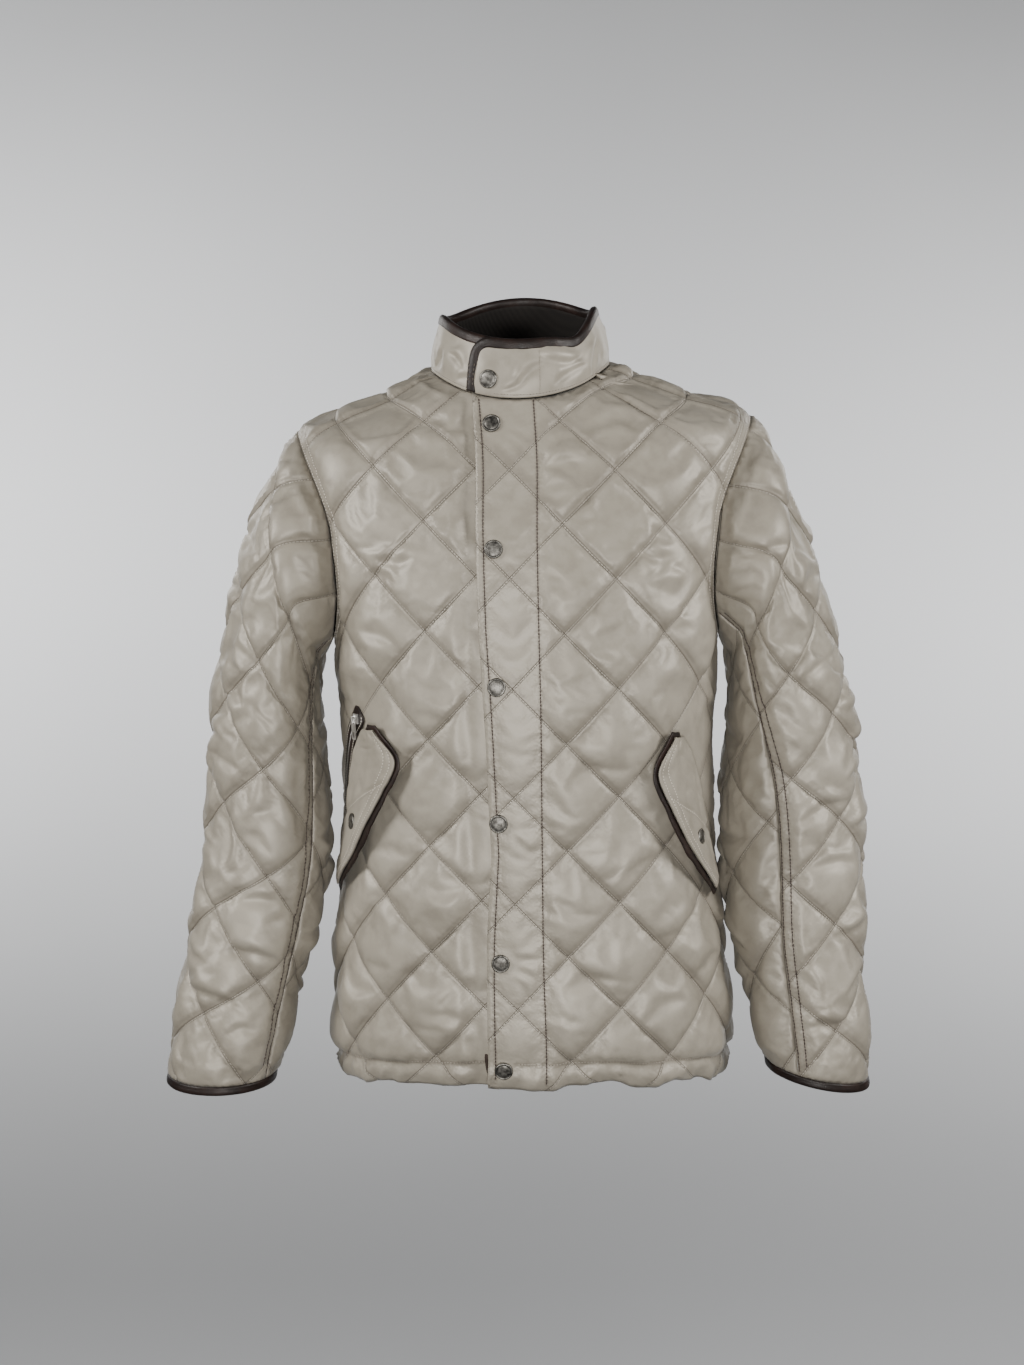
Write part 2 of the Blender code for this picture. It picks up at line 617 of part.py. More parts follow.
class Edge:
    """A panel's outline: points (u, w), with the wall's own direction where it is set."""

    def __init__(self):
        self.u = []
        self.w = []
        self.normals = {}
        self.points = {}

    def add(self, u, w, points=None, normals=None):
        for k, (a, b) in enumerate(zip(np.atleast_1d(u), np.atleast_1d(w))):
            index = len(self.u)
            self.u.append(float(a))
            self.w.append(float(b))
            if points is not None:
                self.points[index] = points[k]
            if normals is not None:
                self.normals[index] = normals[k]


def build_panel(name, surface, edge, relief, lift, hem_rows=None):
    """A cloth wall: quilted points outside, a plain face inside, and its edge between."""
    border_u = np.array(edge.u)
    border_w = np.array(edge.w)
    outline = np.column_stack(surface.cloth(border_u, border_w))
    turning = outline[:, 0] * np.roll(outline[:, 1], -1) - np.roll(outline[:, 0], -1) * outline[:, 1]
    order = np.arange(len(outline))
    if turning.sum() < 0:
        order = order[::-1]
    outline = outline[order]
    count = len(outline)

    quilt = quilt_points(outline, QUILT_CROSSINGS[name])
    if hem_rows is not None:
        hem_u, hem_w = hem_rows
        hem = np.column_stack(surface.cloth(hem_u, hem_w))
        hem = hem[inside_outline(hem, outline)]
        hem = hem[distance_to_outline(hem, outline) > BORDER_MARGIN * 0.5]
        near = np.array([np.min(np.linalg.norm(hem - p, axis=1)) for p in quilt])
        quilt = np.vstack([quilt[near > BORDER_MARGIN], hem])
        level = np.array([hem[np.argmin(np.abs(hem[:, 0] - p[0])), 1] for p in quilt])
        quilt = quilt[quilt[:, 1] > level - 0.5 * CASING_HEIGHT]
    inner = grid_inside(outline, INSIDE_SPACING * 0.45, INSIDE_SPACING)

    def wall_points(extra, height_function):
        u, w = surface.find(extra[:, 0], extra[:, 1])
        all_u = np.concatenate([border_u[order], u])
        all_w = np.concatenate([border_w[order], w])
        base = surface.read(surface.grid, all_u, all_w)
        normals = surface.read(surface.normal, all_u, all_w)
        for place, source in enumerate(order):
            if source in edge.points:
                base[place] = edge.points[source]
            if source in edge.normals:
                normals[place] = edge.normals[source]
        flat = np.vstack([outline, extra])
        away = distance_to_outline(flat, outline)
        raised = lift(flat[:, 0], flat[:, 1]) + height_function(flat[:, 0], flat[:, 1], away, all_w)
        return base + normals * raised[:, None]

    outside = wall_points(quilt, lambda x, v, away, w: WALL + relief(x, v, away, w))
    inside = wall_points(inner, lambda x, v, away, w: np.zeros(len(x)))
    bm = bmesh.new()
    outer_verts = [bm.verts.new(p) for p in outside]
    inner_verts = [bm.verts.new(p) for p in inside]
    for face in fill(outline, quilt):
        bm.faces.new([outer_verts[i] for i in face])
    for face in fill(outline, inner):
        bm.faces.new([inner_verts[i] for i in reversed(face)])
    for k in range(count):
        n = (k + 1) % count
        # Both pieces at a seam split its face the same way, from the higher point outside.
        if inside[k][2] > inside[n][2]:
            bm.faces.new([outer_verts[k], inner_verts[k], inner_verts[n]])
            bm.faces.new([outer_verts[k], inner_verts[n], outer_verts[n]])
        else:
            bm.faces.new([outer_verts[k], inner_verts[k], outer_verts[n]])
            bm.faces.new([inner_verts[k], inner_verts[n], outer_verts[n]])
    return add_object(name, bm, "shell_nylon")


def body_relief(piece):
    """Height of a body panel's outer face: quilting, casing, folds, and its flattened places."""
    crossing = QUILT_CROSSINGS[piece]

    def relief(x, v, away, w):
        from_seam = np.clip(away / SEAM_FADE, 0.0, 1.0)
        height = quilt_height(x, v, crossing) * from_seam ** SEAM_SHARPNESS
        side_x = np.abs(x) if piece != "back" else SIDE_X - np.abs(x)
        squeezed = smoothstep(*UNDERARM_X, side_x) * smoothstep(*UNDERARM_RISE, v)
        height *= 1.0 - UNDERARM_FLATNESS * squeezed
        if piece == "front_left":
            placket = smoothstep(PLACKET_FADE_X, PLACKET_SEAM_X, x)
            height = height * (1 - placket) + PLACKET_LOFT * placket * height / QUILT_LOFT
        if piece != "back":
            side = 1.0 if piece == "front_left" else -1.0
            height *= 1.0 - POCKET_FLATNESS * pocket_zone(side * x, v)
        height += fold_height(piece, x, v) * from_seam
        casing = smoothstep(*CASING_FADE, w)
        height = height * (1 - casing) + casing_height(x, w) * casing
        if piece == "front_right":
            height *= smoothstep(UNDERLAP_FADE[1], UNDERLAP_FADE[0], x)
        return np.maximum(height, LEAST_RELIEF)

    return relief


def casing_height(x, w):
    """The rolled, gathered casing of the hem."""
    share = w / CASING_HEIGHT
    roll = np.sin(np.clip(share, 0.0, 1.0) * np.pi * 0.5 + np.pi * 0.25) ** 2
    roll = roll - 0.5 * smoothstep(0.6, 1.0, share)
    return CASING_LOFT * roll + GATHER_DEPTH * (0.5 + 0.5 * np.cos(2 * np.pi * x / GATHER_PITCH))


def pocket_zone(x, v):
    """1 where a pocket's flap is sewn down and flattens the quilting."""
    along = smoothstep(*POCKET_FOOT, v) * smoothstep(*POCKET_HEAD, v)
    line = POCKET_MIDDLE[0] + (v - POCKET_MIDDLE[1]) * POCKET_SLOPE
    return along * np.exp(-(((x - line) / POCKET_HALF_WIDTH) ** 4))


def front_lift(x, v):
    """The placket lies over the other front's edge."""
    return PLACKET_LIFT * smoothstep(*LIFT_FADE, x)


def no_lift(x, v):
    return np.zeros(len(x))


def seam_angle(surface, angle, levels, inward):
    """Angles of a seam, drawn back by half of the seam gap."""
    levels = np.atleast_1d(levels)
    here = surface.read(surface.x, np.full(len(levels), angle), levels)
    there = surface.read(surface.x, np.full(len(levels), angle + inward), levels)
    return angle + inward * 0.5 * SEAM_GAP / np.abs(there - here)


def hem_samples(surface, first_x, last_x):
    count = int(round(abs(last_x - first_x) / (GATHER_PITCH / 2)))
    xs = np.linspace(first_x, last_x, count + 1)
    return surface.angle_at_x(xs, np.zeros(count + 1))



def casing_rows(surface, angles):
    """Points of the casing's middle and of its stitching, above each point of the hem."""
    rows_w = np.concatenate([np.full(len(angles), CASING_HEIGHT * share) for share in (0.45, 1.0)])
    return np.concatenate([angles, angles]), rows_w


def collar_directions(angles):
    """Outward and upward directions of the collar where it stands on the neck seam."""
    seam = collar_points(angles, np.array([0.0, 0.02]))
    up = unit(seam[:, 1] - seam[:, 0])
    ring = unit(collar_points(angles + 0.5, np.array([0.0]))[:, 0]
                - collar_points(angles - 0.5, np.array([0.0]))[:, 0])
    return unit(np.cross(ring, up)), up


def neck_border(surface, angles):
    """The body's edge at the neck seam, sharing its direction with the collar."""
    levels = np.full(len(angles), NECK_V)
    outward, _ = collar_directions(angles)
    normals = unit(surface.read(surface.normal, angles, levels) + outward)
    return levels, normals


def build_front(name, surface, armhole, side):
    seam = 90.0 * side
    free_x = PLACKET_EDGE[0][1] if side > 0 else UNDERLAP_X
    edge = Edge()
    hem_end = float(surface.read(surface.x, np.array([seam]), np.array([0.0]))[0])
    hem = hem_samples(surface, free_x, hem_end)[:-1]
    edge.add(hem, np.zeros(len(hem)))
    edge.add(seam_angle(surface, seam, SIDE_LEVELS[:-1], -side), SIDE_LEVELS[:-1])
    turn = np.concatenate([[179.9], np.arange(180 - ARMHOLE_STEP, 0, -ARMHOLE_STEP), [0.1]])
    edge.add(np.interp(turn, np.arange(181), armhole.front_angles),
             np.interp(turn, np.arange(181), armhole.front_levels),
             normals=armhole.border_normals(turn, True))
    edge.add(seam_angle(surface, seam, SHOULDER_LEVELS[1:-1], -side), SHOULDER_LEVELS[1:-1])
    if side > 0:
        neck = np.append(np.arange(90.0, COLLAR_LAP_START, -NECK_STEP), COLLAR_LAP_START)
    else:
        last = float(surface.angle_at_x(np.array([UNDERLAP_X]), np.array([NECK_V]))[0])
        neck = np.append(np.arange(-90.0, last - 2.0, NECK_STEP), last)
    neck[0] = float(seam_angle(surface, seam, NECK_V, -side)[0])
    levels, normals = neck_border(surface, neck)
    edge.add(neck, levels, normals=normals)
    vs = np.linspace(float(surface.read(surface.v, neck[-1:], levels[-1:])[0]) - BORDER_STEP,
                     float(surface.read(surface.v, hem[:1], np.zeros(1))[0]) + BORDER_STEP,
                     PLACKET_EDGE_POINTS)
    if side > 0:
        xs = np.interp(vs, *zip(*PLACKET_EDGE))
    else:
        xs = np.full(len(vs), UNDERLAP_X)
    u, w = surface.find(xs, vs)
    edge.add(u, w)
    lift = front_lift if side > 0 else no_lift
    return build_panel(name, surface, edge, body_relief(name), lift, casing_rows(surface, hem))


def build_back(surface, armholes):
    edge = Edge()
    ends = surface.read(surface.x, np.array([90.0, 270.0]), np.zeros(2))
    hem = hem_samples(surface, ends[0], ends[1])[1:-1]
    edge.add(hem, np.zeros(len(hem)))
    for side, armhole in ((-1, armholes[-1]), (1, armholes[1])):
        seam = 270.0 if side < 0 else 90.0
        inward = -1.0 if side < 0 else 1.0
        turn = np.concatenate([[179.9], np.arange(180 - ARMHOLE_STEP, 0, -ARMHOLE_STEP), [0.1]])
        parts = [
            (seam_angle(surface, seam, SIDE_LEVELS[:-1], inward), SIDE_LEVELS[:-1], None),
            (np.interp(turn, np.arange(181), armhole.back_angles),
             np.interp(turn, np.arange(181), armhole.back_levels),
             armhole.border_normals(360.0 - turn, True)),
            (seam_angle(surface, seam, SHOULDER_LEVELS[1:-1], inward), SHOULDER_LEVELS[1:-1], None)]
        if side < 0:
            for u, w, normals in parts:
                edge.add(u, w, normals=normals)
            neck = np.arange(270.0, 89.0, -NECK_STEP)
            neck[0] = float(seam_angle(surface, 270.0, NECK_V, -1.0)[0])
            neck[-1] = float(seam_angle(surface, 90.0, NECK_V, 1.0)[0])
            levels, normals = neck_border(surface, neck)
            edge.add(neck, levels, normals=normals)
        else:
            for u, w, normals in reversed(parts):
                edge.add(u[::-1], w[::-1], normals=None if normals is None else normals[::-1])
    return build_panel("back", surface, edge, body_relief("back"), no_lift,
                       casing_rows(surface, hem))


def sleeve_relief(piece):
    crossing = QUILT_CROSSINGS[piece]

    def relief(x, v, away, w):
        from_seam = np.clip(away / SEAM_FADE, 0.0, 1.0)
        height = quilt_height(x, v, crossing) * from_seam ** SEAM_SHARPNESS
        if piece.endswith("under"):
            middle = np.exp(-((x / UNDER_SLEEVE_HALF_WIDTH) ** 4))
            height *= 1.0 - UNDERARM_FLATNESS * middle * smoothstep(*UNDER_SLEEVE_RISE, v)
        height += fold_height(piece, x, v) * from_seam
        return np.maximum(height, LEAST_RELIEF)

    return relief


def build_sleeve(name, armhole, rings, seams):
    """The upper and the under half of one sleeve."""
    for half in ("upper", "under"):
        first, last, zero = (-180.0, 180.0, 0.0) if half == "upper" else (60.0, 300.0, 180.0)
        surface = sleeve_surface(armhole, rings, first, last, zero)
        table = through_rows(seams, SLEEVE_LEVELS)
        front_seam = table[:, 0]
        back_seam = table[:, 1]
        draw = 0.5 * SEAM_GAP / math.radians(SLEEVE_RADIUS)
        if half == "upper":
            low = back_seam + draw
            high = front_seam - draw
        else:
            low = front_seam + draw
            high = back_seam + 360.0 - draw
        top = np.arange(low[0] - draw, high[0] + 1.0, ARMHOLE_STEP)
        top[0] = low[0]
        top[-1] = high[0]
        cuff = np.linspace(low[-1], high[-1], int(round((high[-1] - low[-1]) / CUFF_STEP)) + 1)
        edge = Edge()
        edge.add(top, np.zeros(len(top)), normals=armhole.border_normals(top, False))
        edge.add(high[1:-1], SLEEVE_LEVELS[1:-1])
        edge.add(cuff[::-1], np.ones(len(cuff)))
        edge.add(low[1:-1][::-1], SLEEVE_LEVELS[1:-1][::-1])
        piece = f"{name}_{half}"
        build_panel(piece, surface, edge, sleeve_relief(piece), no_lift)


def collar_points(angles, heights):
    """Points of the collar's base surface, from the neck seam (0) to the rim (1)."""
    angles = np.asarray(angles, dtype=float)
    seam = body_points(np.mod(angles + 180.0, 360.0) - 180.0, np.array([NECK_V]))[:, 0]
    turn = np.radians(angles)
    forward = np.cos(turn)
    depth = np.where(forward >= 0, RIM["side_y"] - RIM["front_y"], RIM["back_y"] - RIM["side_y"])
    end_z = np.where(forward >= 0, RIM["front_z"], RIM["back_z"])
    x = RIM["mid_x"] + RIM["half_width"] * np.sin(turn)
    rim = np.stack([x, RIM["side_y"] - depth * forward,
                    RIM["side_z"] + (end_z - RIM["side_z"]) * forward ** 2 + SHOULDER_LEAN * x], axis=-1)
    t = np.asarray(heights)[None, :, None]
    lap = COLLAR_LAP_LIFT * smoothstep(75.0, 20.0, angles)
    outward = unit(np.stack([np.sin(turn), -np.cos(turn), np.zeros(len(turn))], axis=-1))
    bulge = 0.0025 * np.sin(np.pi * np.asarray(heights))[None, :, None]
    points = seam[:, None] * (1 - t) + rim[:, None] * t
    return points + outward[:, None] * (lap[:, None, None] + bulge)


def collar_surface():
    angles = np.linspace(COLLAR_LAP_START - 4, COLLAR_UNDER_END + 4, 404)
    heights = np.linspace(0.0, 1.0, 41)
    return Surface(collar_points(angles, heights), angles, heights, 180.0, 0.0, 0.0)


def band_mesh(name, rings_outer, rings_inner, finish_name, closed=False):
    """A wall between two matching grids of points, [column][row]."""
    bm = bmesh.new()
    outer = [[bm.verts.new(p) for p in column] for column in rings_outer]
    inner = [[bm.verts.new(p) for p in column] for column in rings_inner]
    columns = len(outer)
    rows = len(outer[0])
    last = columns if closed else columns - 1
    for i in range(last):
        n = (i + 1) % columns
        for j in range(rows - 1):
            bm.faces.new([outer[i][j], outer[n][j], outer[n][j + 1], outer[i][j + 1]])
            bm.faces.new([inner[i][j], inner[i][j + 1], inner[n][j + 1], inner[n][j]])
        bm.faces.new([outer[i][0], inner[i][0], inner[n][0], outer[n][0]])
        bm.faces.new([outer[i][-1], outer[n][-1], inner[n][-1], inner[i][-1]])
    if not closed:
        for i in (0, columns - 1):
            for j in range(rows - 1):
                bm.faces.new([outer[i][j], outer[i][j + 1], inner[i][j + 1], inner[i][j]])
    return add_object(name, bm, finish_name)


def wall_grid(surface, u, w, out):
    """A grid of points [column][row], moved out: one u a column, and one w a point."""
    grid_u = np.broadcast_to(u[:, None], w.shape)
    points = surface.place(grid_u.ravel(), w.ravel(), np.broadcast_to(out, w.shape).ravel())
    return points.reshape(*w.shape, 3)


def collar_top(angles):
    """Where the quilted wall ends below the binding, rounded off at the lapped end."""
    t = np.clip(1.0 - (angles - LAP_EDGE) / CORNER_ANGLE, 0.0, 1.0)
    return WALL_TOP - CORNER_HEIGHT * (1.0 - np.sqrt(1.0 - t ** 2))


def build_collar(surface):
    """The quilted stand, its dark facing, and the leather along its rim and lapped end."""
    corner = LAP_EDGE + CORNER_ANGLE * (1.0 - np.sin(np.radians([90.0, 62.0, 40.0, 20.0])))
    angles = np.concatenate([corner, np.arange(-18.0, COLLAR_UNDER_END, NECK_STEP), [COLLAR_UNDER_END]])
    shares = np.linspace(0.0, 1.0, 4)
    heights = collar_top(angles)[:, None] * shares[None, :]
    puff = 1.2 * MM * np.sin(np.pi * shares)[None, :]
    flat_end = smoothstep(330.0, 312.0, angles)
    puff = puff * (flat_end * (1.0 + 0.6 * np.cos(np.radians(angles * 7))))[:, None]
    outer = wall_grid(surface, angles, heights, COLLAR_WALL + puff)
    inner = wall_grid(surface, angles, heights, 0.0)
    outward, up = collar_directions(angles)
    body = body_points(np.mod(angles + 180.0, 360.0) - 180.0, np.array([NECK_V - 0.004, NECK_V]))
    slope = unit(body[:, 1] - body[:, 0])
    ring = unit(np.cross(up, outward))
    body_normal = unit(np.cross(slope, -ring))
    body_normal *= np.sign((body_normal * outward).sum(axis=1))[:, None]
    mitre = unit(outward + body_normal)
    lapped = smoothstep(82.0, 55.0, angles) + smoothstep(325.0, 340.0, angles)
    inner[:, 0] += up * (SEAM_GAP + LAP_ROOM * lapped)[:, None]
    outer[:, 0] = inner[:, 0] + mitre * COLLAR_WALL
    band_mesh("collar", outer, inner, "shell_nylon")

    facing_angles = np.linspace(9.0, COLLAR_UNDER_END - 1.0, 34)
    facing_heights = np.tile(np.linspace(0.03, WALL_TOP, 3), (len(facing_angles), 1))
    behind = -FACING_GAP
    band_mesh("collar_facing", wall_grid(surface, facing_angles, facing_heights, behind),
              wall_grid(surface, facing_angles, facing_heights, behind - LINING_WALL), "collar_lining")

    columns = []
    for angle, level, out_angle, out_level in rim_path():
        here = surface.place(np.array([angle]), np.array([level]), np.zeros(1))[0]
        normal = surface.read(surface.normal, np.array([angle]), np.array([level]))[0]
        reach = 0.5 * MM
        step_angle = math.degrees(out_angle * reach / COLLAR_RADIUS)
        step_level = out_level * reach / COLLAR_HEIGHT
        there = surface.place(np.array([angle + step_angle]), np.array([level + step_level]),
                              np.zeros(1))[0]
        edge_way = unit((there - here)[None])[0]
        columns.append([here + normal * out + edge_way * away for out, away in BINDING_SECTION])
    sweep("collar_binding", columns, "brown_leather")


def rim_path():
    """The binding's route: along the rim to the lapped end, round the corner and down it."""
    last = LAP_EDGE + CORNER_ANGLE
    route = [(angle, WALL_TOP, 0.0, 1.0)
             for angle in np.append(np.arange(COLLAR_UNDER_END - 1.0, last, -8.0), last)]
    for swing in np.radians([22.5, 45.0, 67.5, 90.0]):
        route.append((LAP_EDGE + CORNER_ANGLE * (1 - math.sin(swing)),
                      WALL_TOP - CORNER_HEIGHT * (1 - math.cos(swing)),
                      -math.sin(swing), math.cos(swing)))
    for level in np.linspace(WALL_TOP - CORNER_HEIGHT, BINDING_FOOT, 6)[1:]:
        route.append((LAP_EDGE, level, -1.0, 0.0))
    return route


def sweep(name, columns, finish_name, closed=False):
    """A tube through matching section loops, capped unless it is closed."""
    bm = bmesh.new()
    loops = [[bm.verts.new(p) for p in column] for column in columns]
    size = len(loops[0])
    last = len(loops) if closed else len(loops) - 1
    for i in range(last):
        n = (i + 1) % len(loops)
        for j in range(size):
            k = (j + 1) % size
            bm.faces.new([loops[i][j], loops[n][j], loops[n][k], loops[i][k]])
    if not closed:
        bm.faces.new(loops[0])
        bm.faces.new(loops[-1])
    return add_object(name, bm, finish_name)


def build_cuff_binding(name, armhole, rings):
    surface = sleeve_surface(armhole, rings, -10.0, 370.0, 0.0)
    turn = np.arange(0.0, 360.0, 18.0)
    ends = surface.place(turn, np.ones(len(turn)), np.zeros(len(turn)))
    above = surface.place(turn, np.full(len(turn), 0.97), np.zeros(len(turn)))
    normals = surface.read(surface.normal, turn, np.ones(len(turn)))
    down = unit(ends - above)
    columns = [[end + normal * out + way * drop for out, drop in CUFF_SECTION]
               for end, normal, way in zip(ends, normals, down)]
    return sweep(name, columns, "brown_leather", closed=True)


def level_at(surface, angles, heights):
    """The w at which the surface, at each angle, is at this height z."""
    levels = []
    for angle, z in zip(angles, heights):
        column = surface.read(surface.grid, np.full(len(surface.w), angle), surface.w)[:, 2]
        levels.append(np.interp(z, column, surface.w))
    return np.array(levels)


def flap_grid(surface, rows, lift):
    """A flap's underside, [row][column], and its normals, from sewn edge to free edge."""
    shares = np.linspace(0, 1, len(rows))
    fine = through_rows(np.column_stack([shares, np.array(rows)]), np.linspace(0, 1, 9))
    sewn_angle, sewn_z, free_angle, free_z, stand = fine.T
    sewn = surface.place(sewn_angle, level_at(surface, sewn_angle, sewn_z), np.full(9, lift))
    free = surface.place(free_angle, level_at(surface, free_angle, free_z), np.full(9, lift))
    free[:, 1] -= stand
    share = np.linspace(0.0, 1.0, 4)[None, :, None]
    under = sewn[:, None] * (1 - share) + free[:, None] * share
    normals = unit(np.cross(np.gradient(under, axis=0), np.gradient(under, axis=1)))
    if normals[4, 1, 1] > 0:
        normals = -normals
    return under + normals * np.sin(np.pi * share) * 1.5 * MM, normals


def grow_edges(grid, reach):
    """The grid with one more column past its last, and one more row past each end."""
    wider = np.concatenate([grid, grid[:, -1:] + unit(grid[:, -1:] - grid[:, -2:-1]) * reach], axis=1)
    first = wider[:1] + unit(wider[:1] - wider[1:2]) * reach
    last = wider[-1:] + unit(wider[-1:] - wider[-2:-1]) * reach
    return np.concatenate([first, wider, last], axis=0)


def flap_leather(under, normals):
    """The outer and the inner face of the wider leather under a flap."""
    wider = grow_edges(under, FLAP_LEATHER_EDGE)
    outward = np.pad(normals, ((1, 1), (0, 1), (0, 0)), mode="edge")
    return wider - outward * SEAM_GAP, wider - outward * (SEAM_GAP + FLAP_LEATHER_WALL), outward


def build_flap(name, surface, panel, base, rows):
    """A pocket flap and the leather under it, with the sewn edge seated on what it is sewn to."""
    under, normals = flap_grid(surface, rows, base)
    _, back, outward = flap_leather(under, normals)
    least = least_height(panel, back[:, :2].reshape(-1, 3), outward[:, :2].reshape(-1, 3))
    under, normals = flap_grid(surface, rows, base + SEAT_GAP - least)
    flap = band_mesh(f"pocket_flap_{name}", under + normals * FLAP_WALL, under, "shell_nylon")
    face, back, _ = flap_leather(under, normals)
    band_mesh(f"flap_leather_{name}", face, back, "brown_leather")
    return flap, under, normals


def surface_frame(surface, u, w):
    """Where a hard piece sits on a surface: its place, and its side, up and out directions."""
    u = np.array([u])
    w = np.array([w])
    place = surface.place(u, w, np.zeros(1))[0]
    normal = surface.read(surface.normal, u, w)[0]
    up = np.array([0.0, 0.0, 1.0])
    up = unit((up - normal * (up @ normal))[None])[0]
    return place, np.cross(up, normal), up, normal


def frame_matrix(place, side, up, normal):
    rows = np.column_stack([side, up, normal, place])
    return Matrix([list(row) for row in rows] + [[0, 0, 0, 1]])


def least_height(panel, points, normals):
    """The least height of these points above a panel, measured along their normals."""
    bm = bmesh.new()
    bm.from_mesh(panel.data)
    tree = BVHTree.FromBMesh(bm)
    bm.free()
    heights = []
    for point, normal in zip(points, normals):
        hit = tree.ray_cast(Vector(point + normal * REST_SEARCH), Vector(-normal), 2 * REST_SEARCH)
        if hit[0] is not None:
            heights.append(hit[3] - REST_SEARCH)
    return min(heights)


def rest_on(panel, place, side, up, normal, radius):
    """Lift a place along its normal until a disc there clears the panel by the seam gap."""
    spots = [place]
    for swing in np.radians(np.arange(0.0, 360.0, 22.5)):
        spoke = (side * math.cos(swing) + up * math.sin(swing)) * radius
        spots += [place + spoke, place + spoke * 0.5]
    return place + normal * (SEAM_GAP - least_height(panel, spots, [normal] * len(spots)))


def build_snap(name, panel, place, side, up, normal, radius):
    """A round cap with a raised rim and a low dome."""
    seat = rest_on(panel, place, side, up, normal, radius)
    bm = bmesh.new()
    foot = bm.verts.new((0, 0, 0))
    crown = bm.verts.new((0, 0, SNAP_CROWN * radius))
    rings = []
    for share, rise in SNAP_PROFILE:
        ring = []
        for k in range(SNAP_SEGMENTS):
            swing = 2 * math.pi * k / SNAP_SEGMENTS
            ring.append(bm.verts.new((radius * share * math.cos(swing),
                                      radius * share * math.sin(swing), radius * rise)))
        rings.append(ring)
    for k in range(SNAP_SEGMENTS):
        n = (k + 1) % SNAP_SEGMENTS
        bm.faces.new([foot, rings[0][n], rings[0][k]])
        bm.faces.new([crown, rings[-1][k], rings[-1][n]])
        for low, high in zip(rings, rings[1:]):
            bm.faces.new([low[k], low[n], high[n], high[k]])
    bm.transform(frame_matrix(seat, side, up, normal))
    return add_object(name, bm, "aged_nickel")


def facing_grid(surface, lift):
    """Points of the zip facing, [row][column], and its normals."""
    levels = np.linspace(ZIP_FACING[0][0], ZIP_FACING[-1][0], 11)
    points, normals = [], []
    for z, (outer_angle, inner_angle) in zip(levels, through_rows(ZIP_FACING, levels)):
        angles = np.linspace(outer_angle, inner_angle, 3)
        w = level_at(surface, angles, np.full(3, z))
        points.append(surface.place(angles, w, np.full(3, lift)))
        normals.append(surface.read(surface.normal, angles, w))
    return np.array(points), np.array(normals)


def build_facing(surface, panel):
    """The leather strip beside the right pocket's zip."""
    points, normals = facing_grid(surface, WALL)
    least = least_height(panel, points.reshape(-1, 3), normals.reshape(-1, 3))
    points, normals = facing_grid(surface, WALL + SEAT_GAP - least)
    return band_mesh("zip_facing", points + normals * FACING_WALL, points, "brown_leather")


def box_mesh(low, high):
    bm = bmesh.new()
    bmesh.ops.create_cube(bm, size=1.0)
    size = Vector(high) - Vector(low)
    middle = (Vector(high) + Vector(low)) / 2
    bmesh.ops.scale(bm, vec=size, verts=bm.verts)
    bmesh.ops.translate(bm, vec=middle, verts=bm.verts)
    return bm


def cut_with(item, bm, name):
    """Cut a bmesh's shape out of an object."""
    mesh = bpy.data.meshes.new(name)
    bm.to_mesh(mesh)
    bm.free()
    cutter = bpy.data.objects.new(name, mesh)
    cutter.matrix_world = item.matrix_world
    cutter.hide_render = True
    cutter.display_type = "WIRE"
    bpy.context.scene.collection.objects.link(cutter)
    boolean = item.modifiers.new(name, "BOOLEAN")
    boolean.operation = "DIFFERENCE"
    boolean.solver = "EXACT"
    boolean.object = cutter


